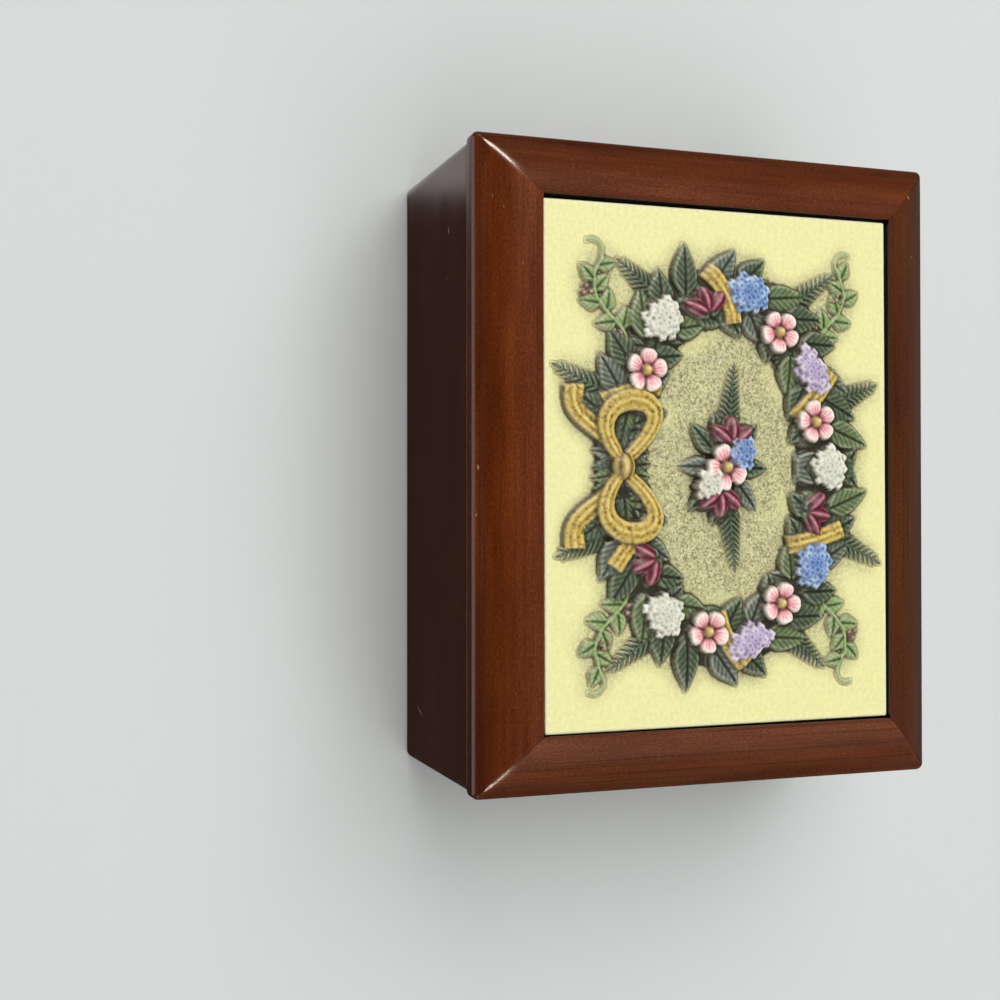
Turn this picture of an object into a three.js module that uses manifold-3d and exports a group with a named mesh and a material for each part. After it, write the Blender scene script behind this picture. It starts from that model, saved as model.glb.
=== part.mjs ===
// A small wooden jewelry box. Four mitred boards and a floor make the body. The lid is a frame of four
// mitred rails round a panel, and a cast relief tile lies in the frame, on the panel.
// Millimetres, +Z up. The origin is under the middle of the lid, on the table, and the front faces -Y. The
// lid lies pushed a little way back, so that it is nearly flush with the body at the front.
import * as THREE from "three";
import { mergeVertices } from "three/addons/utils/BufferGeometryUtils.js";
import Module from "manifold-3d";

const wasm = await Module();
wasm.setup();

// Driving dimensions of the body
const BODY_WIDTH = 142.4;
const BODY_DEPTH = 113;
const BODY_HEIGHT = 48.9;
const BODY_SHIFT_Y = -0.4;
const WALL = 7;
const FLOOR = 4;
const FLOOR_LAP = 3.5;
const BODY_CORNER = 2;
const MITRE_GAP = 0.1;

// Driving dimensions of the lid
const LID_OVERHANG_X = 0.8;
const LID_OVERHANG_Y = 0.5;
const LID_EDGE = 4.9;
const LID_RISE = 6;
const LID_CORNER = 1.6;
const EDGE_ROUND = 1.5;
const RAIL = 13.9;
const RIM_ROUND = 0.3;
const PANEL_LAP = 5.6;
const PANEL_TOP = 5;
const PANEL_DROP = 2.5;
const BOARD_CORNER = 0.5;

// Driving dimensions of the tile
const TILE_GAP_X = 0.5;
const TILE_GAP_Y = 0.4;
const TILE_SHIFT_X = 0.2;
const TILE_SHIFT_Y = -0.1;
const TILE_TURN = 0.003;
const TILE_CORNER = 0.5;
const TILE_DROP = 0.8;

// Driving dimensions of the relief, with places from the middle of the tile and heights from its ground
const OVAL_HALF_LENGTH = 38.5;
const OVAL_HALF_WIDTH = 25;
const MOUND = { halfWidth: 6, height: 1.3 };
const LEAF_ROWS = [
  { count: 15, outward: 2, facing: 0, lean: 0.75, length: 9.6, spread: 2.6, width: 6.2 },
  { count: 12, outward: -2, facing: Math.PI, lean: -0.75, length: 7.6, spread: 1.8, width: 5.4 },
];
const LEAF = { root: 1.7, tip: 0.7, crown: 0.5, fullness: 0.72, sway: 0.5, bowGap: 0.03 };
const FLOWER_STATIONS = 18;
const BOW_STATIONS = 2;
const FLOWER_KINDS = ["blossom", "blue", "buds", "white", "blossom", "lilac"];
const FLOWER_WEAVE = 1.3;
const BLOSSOM = { radius: 4.9, base: 1.7, rise: 1.5, notch: 0.74, fold: 0.7, cup: 0.7 };
const BLOSSOM_HEART = { radius: 0.26, rise: 0.6 };
const BUD = { length: 6.4, width: 3.9, base: 1.3, shoulder: 3, setBack: 2.4, splay: 0.9 };
const HEADS = {
  blue: { halfLength: 5, halfWidth: 4.2 },
  white: { halfLength: 4.8, halfWidth: 4 },
  lilac: { halfLength: 5.6, halfWidth: 3.3 },
};
const HEAD = { base: 1.3, rise: 2, fall: 0.85, bump: 0.5 };
const BAND = { reach: 6, half: 2.1, slant: 0.018, foot: 0.5, rise: 2, arch: 0.96, crown: 0.4, every: 3 };
const BOW = { y: -OVAL_HALF_WIDTH, root: 1, reach: 13.5, lift: 2.4, loop: 7.4, half: 1.4, flare: 1.1 };
const BOW_HEIGHT = { root: 2.2, rise: 1.2, crown: 0.7 };
const TAIL = { rootX: 1.5, rootY: 1, reach: 16, drop: 11, sag: 0.8, wave: 1.5, waves: 1.1 };
const TAIL_RIBBON = { half: 1.6, flare: 0.9, fall: 1 };
const KNOT = { length: 6, width: 5.6, base: 1.2 };
const FERN = { half: 3.2, stem: 0.8, taper: 0.65, height: 1.1, fall: 0.4 };
const CORNER_FERNS = [
  { turn: -0.055, lean: 0.15, length: 12, pairs: 5 },
  { turn: 0.05, lean: -0.2, length: 13.5, pairs: 5 },
];
const FERN_ROOT = 5;
const VINE = { root: 4, length: 30, bend: 0.75, lean: 0.35, half: 0.7, thin: 0.3, height: 0.8, crown: 0.6 };
const VINE_SHAPE = { steps: 28, swing: 0.9, curl: 12.8, curlFrom: 0.72, cornerX: 48, cornerY: 35 };
const VINE_LEAVES = { count: 7, first: 0.16, span: 0.62, lean: 0.9, length: 5.6, shorten: 1.4, width: 4 };
const VINE_LEAF = { root: 0.5, tip: 0.6 };
const BERRY = { radius: 0.8, base: 0.3, ring: 1, offset: 1.9, every: 4 };
const SPRAY = { leaves: 10, start: 0.3, rootX: 4.8, rootY: 3, length: 8, spread: 2, width: 4.4 };
const SPRAY_LEAF = { root: 1.5, tip: 0.6 };
const SPRAY_FERN = { x: 8, y: 1, lean: 0.12, length: 15, pairs: 6 };
const SPRAY_FLOWERS = [
  { kind: "buds", x: -7.5, y: 1.5, angle: Math.PI, scale: 1 },
  { kind: "buds", x: 7.5, y: -1.5, angle: 0, scale: 1 },
  { kind: "blue", x: -3.5, y: 4, angle: 1.2, scale: 0.75 },
  { kind: "white", x: 3.8, y: -4.2, angle: 1.2, scale: 0.75 },
  { kind: "blossom", x: 0, y: 0, angle: 0, scale: 1.06 },
];
const SUNK = 1;
const EDGE_SUNK = 0.1;

const LID_WIDTH = BODY_WIDTH + 2 * LID_OVERHANG_X;
const LID_DEPTH = BODY_DEPTH + 2 * LID_OVERHANG_Y;
const OPENING_WIDTH = LID_WIDTH - 2 * RAIL;
const OPENING_DEPTH = LID_DEPTH - 2 * RAIL;
const TILE_WIDTH = OPENING_WIDTH - 2 * TILE_GAP_X;
const TILE_DEPTH = OPENING_DEPTH - 2 * TILE_GAP_Y;
const TILE_GROUND = BODY_HEIGHT + LID_EDGE + LID_RISE - TILE_DROP;

const MAHOGANY = { color: 0x5e2a12, roughness: 0.35, metalness: 0 };
const DARK_MAHOGANY = { color: 0x3a1e12, roughness: 0.4, metalness: 0 };
const PLAIN_BOARD = { color: 0x6b4a30, roughness: 0.7, metalness: 0 };
const PAINTED_RESIN = { color: 0xe6dfa0, roughness: 0.6, metalness: 0 };

// Solids from closed geometries, and back

function toSolid(geometry) {
  const bare = geometry.clone();
  bare.deleteAttribute("normal");
  bare.deleteAttribute("uv");
  const welded = mergeVertices(bare, 1e-4);
  const vertProperties = new Float32Array(welded.attributes.position.array);
  const triVerts = new Uint32Array(welded.index.array);
  return new wasm.Manifold(new wasm.Mesh({ numProp: 3, vertProperties, triVerts }));
}

function toGeometry(solid) {
  const { vertProperties, triVerts } = solid.getMesh();
  const geometry = new THREE.BufferGeometry();
  geometry.setAttribute("position", new THREE.BufferAttribute(vertProperties, 3));
  geometry.setIndex(new THREE.BufferAttribute(triVerts, 1));
  geometry.computeVertexNormals();
  return geometry;
}

// Moves every point of a geometry by a function from [x, y, z] to [x, y, z].
function reshape(geometry, move) {
  const position = geometry.attributes.position;
  for (let i = 0; i < position.count; i += 1) {
    position.setXYZ(i, ...move(position.getX(i), position.getY(i), position.getZ(i)));
  }
  return geometry;
}

function roundedRectangle(width, depth, radius) {
  const shape = new THREE.Shape();
  const x = width / 2 - radius;
  const y = depth / 2 - radius;
  shape.absarc(x, y, radius, 0, Math.PI / 2);
  shape.absarc(-x, y, radius, Math.PI / 2, Math.PI);
  shape.absarc(-x, -y, radius, Math.PI, 1.5 * Math.PI);
  shape.absarc(x, -y, radius, 1.5 * Math.PI, 2 * Math.PI);
  return shape;
}

function block(shape, bottom, top, curveSegments) {
  const settings = { depth: top - bottom, bevelEnabled: false, curveSegments };
  return new THREE.ExtrudeGeometry(shape, settings).translate(0, 0, bottom);
}

// Mitred boards and rails

// Turns a place on one side of a width by depth frame, with along to the right as that side is faced
// from outside and inward from its outer face, into x and y.
function sidePlace(side, width, depth, along, inward) {
  const places = {
    front: [along, inward - depth / 2],
    back: [-along, depth / 2 - inward],
    left: [inward - width / 2, -along],
    right: [width / 2 - inward, along],
  };
  return places[side];
}

// A section of inward distance and height, run along one side and cut at 45 degrees at both ends, with
// the frame's corners rounded in plan.
function mitredPiece(section, side, width, depth, corner, top) {
  const length = side === "front" || side === "back" ? width : depth;
  const run = new THREE.ExtrudeGeometry(section, { depth: 2, bevelEnabled: false, curveSegments: 5 });
  reshape(run, (inward, z, end) => {
    const along = (end - 1) * (length / 2 - inward - MITRE_GAP);
    return [...sidePlace(side, width, depth, along, inward), z];
  });
  const outline = block(roundedRectangle(width, depth, corner), -1, top + 1, 4);
  return toGeometry(toSolid(run).intersect(toSolid(outline)));
}

function boardSection() {
  const section = new THREE.Shape();
  section.moveTo(0, 0);
  section.lineTo(WALL - FLOOR_LAP, 0);
  section.lineTo(WALL - FLOOR_LAP, FLOOR);
  section.lineTo(WALL, FLOOR);
  section.lineTo(WALL, BODY_HEIGHT);
  section.lineTo(0, BODY_HEIGHT);
  section.closePath();
  return section;
}

// The rail's outer face rounds over into a cushion that flattens towards the rim of the opening.
function railSection() {
  const base = BODY_HEIGHT;
  const arris = base + LID_EDGE;
  const rim = arris + LID_RISE;
  const section = new THREE.Shape();
  section.moveTo(0, base);
  section.lineTo(RAIL - PANEL_LAP, base);
  section.lineTo(RAIL - PANEL_LAP, base + PANEL_TOP);
  section.lineTo(RAIL, base + PANEL_TOP);
  section.lineTo(RAIL, rim - RIM_ROUND);
  section.quadraticCurveTo(RAIL, rim, RAIL - RIM_ROUND, rim);
  section.quadraticCurveTo(RAIL / 2, rim - RIM_ROUND, EDGE_ROUND / 2, arris);
  section.quadraticCurveTo(0, arris - EDGE_ROUND / 3, 0, arris - EDGE_ROUND);
  section.closePath();
  return section;
}

function bottomBoard() {
  const lap = WALL - FLOOR_LAP + MITRE_GAP;
  const outline = roundedRectangle(BODY_WIDTH - 2 * lap, BODY_DEPTH - 2 * lap, BOARD_CORNER);
  return block(outline, 0, FLOOR - MITRE_GAP, 1).translate(0, BODY_SHIFT_Y, 0);
}

// The panel fills the rails' rabbet, and its underside drops in between the body's walls.
function lidPanel() {
  const lap = RAIL - PANEL_LAP + MITRE_GAP;
  const outline = roundedRectangle(LID_WIDTH - 2 * lap, LID_DEPTH - 2 * lap, BOARD_CORNER);
  return block(outline, BODY_HEIGHT - PANEL_DROP, BODY_HEIGHT + PANEL_TOP - MITRE_GAP, 1);
}

// The relief: a garland of leaves and flowers on an oval, tied with a ribbon, and a spray in its middle

const TURN = 2 * Math.PI;
const GOLDEN_PART = (Math.sqrt(5) - 1) / 2;

// Evenly scattered numbers from 0 to 1.
function scatter(index) {
  return (index * GOLDEN_PART) % 1;
}

// A place on the oval: turn runs from 0 at the bottom to the right and once round, and outward is the
// distance outside the oval. angle is the outward direction.
function onOval(turn, outward) {
  const even = (OVAL_HALF_WIDTH - OVAL_HALF_LENGTH) / (2 * (OVAL_HALF_LENGTH + OVAL_HALF_WIDTH));
  const a = TURN * turn + even * Math.sin(2 * TURN * turn);
  const angle = Math.atan2(-Math.cos(a) / OVAL_HALF_WIDTH, Math.sin(a) / OVAL_HALF_LENGTH);
  const x = OVAL_HALF_LENGTH * Math.sin(a) + outward * Math.cos(angle);
  const y = -OVAL_HALF_WIDTH * Math.cos(a) + outward * Math.sin(angle);
  return { x, y, angle };
}

// Places a point that lies along and to the left of a direction from x, y.
function turned(x, y, angle, along, left) {
  const c = Math.cos(angle);
  const s = Math.sin(angle);
  return [x + along * c - left * s, y + along * s + left * c];
}

// A long form along a direction: half width and ridge height follow the share of its length.
function ridgedForm(x, y, angle, length, sides, rings, halfWidth, ridge) {
  const ball = new THREE.SphereGeometry(1, sides, rings);
  return reshape(ball, (right, along, up) => {
    const share = (along + 1) / 2;
    const around = Math.hypot(right, up) || 1;
    const left = (-right / around) * halfWidth(share);
    const lift = Math.max(0, up / around);
    const height = up < -1e-6 ? -SUNK : lift * (ridge(share) + EDGE_SUNK) - EDGE_SUNK;
    return [...turned(x, y, angle, share * length, left), height];
  });
}

function leaf(x, y, angle, length, width, root, tip) {
  const half = (share) => (width / 2) * Math.sin(Math.PI * share ** LEAF.fullness);
  const ridge = (share) => root + (tip - root) * share + LEAF.crown * Math.sin(Math.PI * share);
  return ridgedForm(x, y, angle, length, 4, 3, half, ridge);
}

function bud(x, y, angle, length, width, base) {
  const round = (share) => Math.sqrt(Math.max(0, 1 - (2 * share - 1) ** 2));
  const half = (share) => (width / 2) * round(share);
  const ridge = (share) => base * Math.min(1, BUD.shoulder * round(share)) + (width / 2) * round(share);
  return ridgedForm(x, y, angle, length, 6, 4, half, ridge);
}

// Every other ring of a fern is a pair of leaflets.
function fern(x, y, angle, length, pairs) {
  const rings = 2 * pairs + 1;
  const half = (share) => {
    const ring = Math.round((Math.acos(1 - 2 * share) / Math.PI) * rings);
    return (ring % 2 === 1 ? FERN.half : FERN.stem) * (1 - FERN.taper * share);
  };
  const ridge = (share) => FERN.height - FERN.fall * share;
  return ridgedForm(x, y, angle, length, 4, rings, half, ridge);
}

// A round form, looked down on: radius and height follow the ring from 0 at the top to 1 at the rim,
// and the spoke's number. Below the rim its sides run straight into the ground.
function roundForm(x, y, spokes, rings, radius, height) {
  const bands = rings + 2;
  const ball = new THREE.SphereGeometry(1, spokes, bands);
  return reshape(ball, (right, up, near) => {
    const ring = Math.round((Math.acos(THREE.MathUtils.clamp(up, -1, 1)) / Math.PI) * bands);
    const angle = Math.atan2(-near, right);
    const spoke = Math.round((angle / TURN) * spokes + spokes) % spokes;
    const share = Math.min(1, ring / rings);
    const r = ring < bands ? radius(share, spoke) : 0;
    const z = ring > rings ? -SUNK : height(share, spoke);
    return [x + r * Math.cos(angle), y + r * Math.sin(angle), z];
  });
}

function berry(x, y, radius, base) {
  return ridgedForm(x - radius, y, 0, 2 * radius, 4, 2, () => radius, () => base + radius);
}

// Five petals, with a notch between each two, round a raised heart.
function blossom(x, y, size, base) {
  const petal = (spoke) => spoke % 2 === 0;
  const radius = (share, spoke) => size * share * (share < 1 || petal(spoke) ? 1 : BLOSSOM.notch);
  const cup = (share) => BLOSSOM.rise * Math.sin(BLOSSOM.cup * Math.PI * share);
  const height = (share, spoke) => base + cup(share) * (petal(spoke) ? 1 : BLOSSOM.fold);
  const petals = roundForm(x, y, 10, 2, radius, height);
  return [petals, berry(x, y, BLOSSOM_HEART.radius * size, base + BLOSSOM_HEART.rise)];
}

// A head of small flowers: a dome whose points stand up and down in turn.
function flowerHead(x, y, angle, halfLength, halfWidth) {
  const rings = 2;
  const height = (share, spoke) => {
    const dome = HEAD.base + HEAD.rise * Math.sqrt(1 - HEAD.fall * share * share);
    const low = share > 0 && (share * rings + spoke) % 2 === 1;
    return low ? dome - HEAD.bump : dome;
  };
  const head = roundForm(0, 0, 8, rings, (share) => share, height);
  return reshape(head, (u, v, z) => [...turned(x, y, angle, u * halfLength, v * halfWidth), z]);
}

// A strip along a path, lower at its edges by its crown: path(share) gives its x, y, half width and
// height.
function strip(path, steps, crown) {
  const box = new THREE.BoxGeometry(1, 1, 1, steps, 2, 1);
  const nudge = 1e-3;
  return reshape(box, (along, left, up) => {
    const share = along + 0.5;
    const here = path(share);
    const before = path(share - nudge);
    const after = path(share + nudge);
    const angle = Math.atan2(after.y - before.y, after.x - before.x);
    const z = up > 0 ? here.height - 2 * crown * Math.abs(left) : -SUNK;
    return [...turned(here.x, here.y, angle, 0, 2 * left * here.half), z];
  });
}

// The low bank of foliage that the garland's leaves and flowers lie on.
function mound() {
  const radius = 2;
  const torus = new THREE.TorusGeometry(radius, 1, 4, 32);
  return reshape(torus, (x, y, up) => {
    const outward = (Math.hypot(x, y) - radius) * MOUND.halfWidth;
    const place = onOval(Math.atan2(y, x) / TURN, outward);
    const bank = Math.abs(up) < 0.5 ? -EDGE_SUNK : MOUND.height;
    return [place.x, place.y, up < -0.5 ? -SUNK : bank];
  });
}

// Leaves lean from the bow at the bottom up both sides of the oval.
function garlandLeaves() {
  const leaves = [];
  for (const row of LEAF_ROWS) {
    for (const side of [-1, 1]) {
      for (let i = 0; i < row.count; i += 1) {
        const turn = side * (LEAF.bowGap + ((0.5 - LEAF.bowGap) * (i + 0.5)) / row.count);
        const place = onOval(turn, row.outward);
        const sway = LEAF.sway * (scatter(i) - 0.5) * Math.sign(row.lean);
        const angle = place.angle + row.facing + side * (row.lean + sway);
        const length = row.length + row.spread * scatter(i + 3);
        leaves.push(leaf(place.x, place.y, angle, length, row.width, LEAF.root, LEAF.tip));
      }
    }
  }
  return leaves;
}

function flower(kind, x, y, angle, scale) {
  if (kind === "blossom") return blossom(x, y, BLOSSOM.radius * scale, BLOSSOM.base);
  if (kind === "buds") {
    const root = turned(x, y, angle, -BUD.setBack, 0);
    return [-1, 0, 1].map((way) => bud(...root, angle + way * BUD.splay, BUD.length, BUD.width, BUD.base));
  }
  const { halfLength, halfWidth } = HEADS[kind];
  return [flowerHead(x, y, angle + Math.PI / 2, halfLength * scale, halfWidth * scale)];
}

function garlandFlowers() {
  const flowers = [];
  for (let i = BOW_STATIONS; i <= FLOWER_STATIONS - BOW_STATIONS; i += 1) {
    const place = onOval(i / FLOWER_STATIONS, i % 2 === 1 ? FLOWER_WEAVE : -FLOWER_WEAVE);
    flowers.push(...flower(FLOWER_KINDS[i % FLOWER_KINDS.length], place.x, place.y, place.angle, 1));
  }
  return flowers;
}

// Ribbon: slanted bands over the garland between flowers, and a bow at the bottom.
function bands() {
  const wound = [];
  for (let i = 1; i < FLOWER_STATIONS; i += BAND.every) {
    const middle = (i + 0.5) / FLOWER_STATIONS;
    const path = (share) => {
      const across = 2 * share - 1;
      const place = onOval(middle + BAND.slant * across, BAND.reach * across);
      const arch = Math.sqrt(Math.max(0, 1 - (BAND.arch * across) ** 2));
      return { x: place.x, y: place.y, half: BAND.half, height: BAND.foot + BAND.rise * arch };
    };
    wound.push(strip(path, 6, BAND.crown));
  }
  return wound;
}

// One arm of a loop, from the knot to the loop's far end, above or below its middle.
function bowArm(side, above) {
  const path = (share) => {
    const rise = Math.sin((Math.PI / 2) * share);
    const open = rise ** 2;
    const spread = Math.sin(Math.PI * share) * rise;
    return {
      x: side * (BOW.root + BOW.reach * open),
      y: BOW.y + BOW.lift * open + above * BOW.loop * spread,
      half: BOW.half + BOW.flare * open,
      height: BOW_HEIGHT.root + BOW_HEIGHT.rise * open,
    };
  };
  return strip(path, 7, BOW_HEIGHT.crown);
}

function bowTail(side) {
  const fall = (share) => TAIL.drop * Math.max(0, share) ** TAIL.sag;
  const path = (share) => ({
    x: side * (TAIL.rootX + TAIL.reach * share),
    y: BOW.y - TAIL.rootY - fall(share) + TAIL.wave * Math.sin(TURN * TAIL.waves * share),
    half: TAIL_RIBBON.half + TAIL_RIBBON.flare * share,
    height: BOW_HEIGHT.root - TAIL_RIBBON.fall * share,
  });
  return strip(path, 7, BOW_HEIGHT.crown);
}

function bow() {
  const arms = [-1, 1].flatMap((side) => [bowTail(side), bowArm(side, 1), bowArm(side, -1)]);
  return [...arms, bud(-KNOT.length / 2, BOW.y, 0, KNOT.length, KNOT.width, KNOT.base)];
}

// Sprigs into the corners: two ferns, and a vine with small leaves and berries.
function vinePoints(x, y, angle, bend) {
  const points = [];
  let here = [x, y];
  for (let k = 0; k < VINE_SHAPE.steps; k += 1) {
    points.push(here);
    const share = k / VINE_SHAPE.steps;
    const curl = VINE_SHAPE.curl * Math.max(0, share - VINE_SHAPE.curlFrom);
    const heading = angle + bend * (VINE_SHAPE.swing * Math.sin(TURN * share) + curl);
    here = turned(...here, heading, VINE.length / VINE_SHAPE.steps, 0);
  }
  return points;
}

function berries(x, y, heading) {
  return [0, 1, 2].map((k) => {
    const place = turned(x, y, heading + (TURN * k) / 3, BERRY.ring, 0);
    return berry(...place, BERRY.radius, BERRY.base);
  });
}

function vine(x, y, angle, bend) {
  const points = vinePoints(x, y, angle, bend);
  const curve = new THREE.CatmullRomCurve3(points.map(([px, py]) => new THREE.Vector3(px, py, 0)));
  const path = (share) => {
    const point = curve.getPoint(THREE.MathUtils.clamp(share, 0, 1));
    return { x: point.x, y: point.y, half: VINE.half - VINE.thin * share, height: VINE.height };
  };
  const forms = [strip(path, 9, VINE.crown)];
  for (let k = 0; k < VINE_LEAVES.count; k += 1) {
    const share = VINE_LEAVES.first + (VINE_LEAVES.span * k) / VINE_LEAVES.count;
    const step = Math.floor(share * VINE_SHAPE.steps);
    const here = points[step];
    const next = points[step + 1];
    const heading = Math.atan2(next[1] - here[1], next[0] - here[0]);
    const aside = heading + (k % 2 === 1 ? VINE_LEAVES.lean : -VINE_LEAVES.lean);
    const length = VINE_LEAVES.length - VINE_LEAVES.shorten * share;
    const width = VINE_LEAVES.width - share;
    forms.push(leaf(...here, aside, length, width, VINE_LEAF.root, VINE_LEAF.tip));
    if (k % BERRY.every === 0) forms.push(...berries(...turned(...here, heading, 0, BERRY.offset), heading));
  }
  return forms;
}

function cornerSprigs() {
  const forms = [];
  for (let quarter = 0; quarter < 4; quarter += 1) {
    const turn = (quarter + 0.5) / 4;
    for (const sprig of CORNER_FERNS) {
      const place = onOval(turn + sprig.turn, FERN_ROOT);
      forms.push(fern(place.x, place.y, place.angle + sprig.lean, sprig.length, sprig.pairs));
    }
    const root = onOval(turn, VINE.root);
    const awayX = Math.sign(root.x) * VINE_SHAPE.cornerX - root.x;
    const awayY = Math.sign(root.y) * VINE_SHAPE.cornerY - root.y;
    const bend = quarter % 2 === 1 ? 1 : -1;
    const angle = Math.atan2(awayY, awayX) - VINE.lean * bend;
    forms.push(...vine(root.x, root.y, angle, VINE.bend * bend));
  }
  return forms;
}

function middleSpray() {
  const forms = [];
  for (let i = 0; i < SPRAY.leaves; i += 1) {
    const a = (TURN * i) / SPRAY.leaves + SPRAY.start;
    const x = SPRAY.rootX * Math.cos(a);
    const y = SPRAY.rootY * Math.sin(a);
    const length = SPRAY.length + SPRAY.spread * scatter(i);
    forms.push(leaf(x, y, Math.atan2(y, x), length, SPRAY.width, SPRAY_LEAF.root, SPRAY_LEAF.tip));
  }
  for (const side of [-1, 1]) {
    const angle = (side > 0 ? 0 : Math.PI) + SPRAY_FERN.lean * side;
    forms.push(fern(SPRAY_FERN.x * side, SPRAY_FERN.y, angle, SPRAY_FERN.length, SPRAY_FERN.pairs));
  }
  for (const { kind, x, y, angle, scale } of SPRAY_FLOWERS) forms.push(...flower(kind, x, y, angle, scale));
  return forms;
}

function reliefTile() {
  const bottom = BODY_HEIGHT + PANEL_TOP - TILE_GROUND;
  const slab = block(roundedRectangle(TILE_WIDTH, TILE_DEPTH, TILE_CORNER), bottom, 0, 3);
  const garland = [mound(), ...garlandLeaves(), ...bands(), ...garlandFlowers(), ...bow()];
  let solid = toSolid(slab);
  for (const form of [...garland, ...cornerSprigs(), ...middleSpray()]) solid = solid.add(toSolid(form));
  return toGeometry(solid).rotateZ(TILE_TURN).translate(TILE_SHIFT_X, TILE_SHIFT_Y, TILE_GROUND);
}

// The whole box, one named mesh for each piece

const box = new THREE.Group();

function addPiece(name, geometry, finish) {
  const piece = new THREE.Mesh(geometry, new THREE.MeshStandardMaterial(finish));
  piece.name = name;
  box.add(piece);
}

const LID_TOP = TILE_GROUND + TILE_DROP;
for (const side of ["front", "back", "left", "right"]) {
  const board = mitredPiece(boardSection(), side, BODY_WIDTH, BODY_DEPTH, BODY_CORNER, BODY_HEIGHT);
  addPiece(`body_${side}_board`, board.translate(0, BODY_SHIFT_Y, 0), DARK_MAHOGANY);
  const rail = mitredPiece(railSection(), side, LID_WIDTH, LID_DEPTH, LID_CORNER, LID_TOP);
  addPiece(`lid_${side}_rail`, rail, MAHOGANY);
}
addPiece("bottom_board", bottomBoard(), PLAIN_BOARD);
addPiece("lid_panel", lidPanel(), PLAIN_BOARD);
addPiece("relief_tile", reliefTile(), PAINTED_RESIN);

export default box;
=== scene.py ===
# A small wooden jewelry box: a mitred mahogany body, a mitred lid frame, and a painted relief tile in it.
# Lengths are millimetres until a piece is made, and the front faces -Y.
import math

import bmesh
import bpy
import numpy as np
from mathutils import Matrix, Vector


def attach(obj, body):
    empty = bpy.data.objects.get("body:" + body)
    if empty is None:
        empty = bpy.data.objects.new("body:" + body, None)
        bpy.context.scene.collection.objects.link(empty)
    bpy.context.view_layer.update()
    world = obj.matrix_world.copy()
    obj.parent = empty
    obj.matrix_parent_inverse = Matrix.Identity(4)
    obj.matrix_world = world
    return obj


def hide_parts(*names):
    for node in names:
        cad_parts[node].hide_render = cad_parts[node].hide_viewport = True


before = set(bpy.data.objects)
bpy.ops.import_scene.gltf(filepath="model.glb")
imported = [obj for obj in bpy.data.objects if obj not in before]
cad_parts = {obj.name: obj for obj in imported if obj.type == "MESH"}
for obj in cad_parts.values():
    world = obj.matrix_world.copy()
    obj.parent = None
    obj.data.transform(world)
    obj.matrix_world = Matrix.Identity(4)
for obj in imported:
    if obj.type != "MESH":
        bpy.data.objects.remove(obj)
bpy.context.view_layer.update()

# Body boards
# Four mahogany boards, 7 mm thick, mitred and glued at the corners and sanded round there. They are
# stained dark and lacquered, and painted almost black-brown to stand for the shade on the front face too;
# a rabbet inside their lower edge takes the bottom board.

MM = 0.001
BODY_WIDTH = 142.4
BODY_DEPTH = 113.0
BODY_HEIGHT = 48.9
BODY_SHIFT_Y = -0.4
WALL = 7.0
FLOOR = 4.0
FLOOR_LAP = 3.5
BODY_CORNER = 2.0
MITRE_GAP = 0.03
BOARD_EASE = 0.45
EASE_STEPS = 4
WEAR_WIDTH = 0.7
CREASE_DEGREES = 38
SIDES = ("front", "back", "left", "right")
MITRE_STEPS = (0, 0.15, 0.3, 0.5, 0.75, 1, 1.3, 1.7, 2.2, 3, 4.5, 7, 11)
MIDDLE_STEPS = 8
BOARD_APART = 40.0


def eased(corners):
    """Rounds the corners of a section, given as (inward, height, how far the rounding reaches). Each point
    of the result is (inward, height, wear), with wear 1 on a rounded edge and 0 a little way from it."""
    points = []
    for index, (u, z, reach) in enumerate(corners):
        here = Vector((u, z))
        before = Vector(corners[index - 1][:2])
        after = Vector(corners[(index + 1) % len(corners)][:2])
        if reach == 0:
            points.append((u, z, 0))
            continue
        back = (before - here).normalized()
        on = (after - here).normalized()
        start = here + back * reach
        end = here + on * reach
        points.append((*(here + back * (reach + WEAR_WIDTH)), 0))
        for step in range(EASE_STEPS + 1):
            t = step / EASE_STEPS
            place = start * (1 - t) ** 2 + here * (2 * t * (1 - t)) + end * t ** 2
            points.append((*place, 1))
        points.append((*(here + on * (reach + WEAR_WIDTH)), 0))
    return points


def side_place(side, width, depth, along, inward):
    """Where a place on one side of a frame lies: along runs to the right as that side is faced."""
    places = {
        "front": (along, inward - depth / 2),
        "back": (-along, depth / 2 - inward),
        "left": (inward - width / 2, -along),
        "right": (width / 2 - inward, along),
    }
    return places[side]


def ring_faces(count, rings):
    """The faces of a closed solid whose points lie in rings of one count, with a cap at each end."""
    last = (rings - 1) * count
    faces = [list(range(count)), list(range(last, last + count))]
    for low in range(0, last, count):
        for k in range(count):
            after = (k + 1) % count
            faces.append([low + k, low + after, low + count + after, low + count + k])
    return faces


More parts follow.
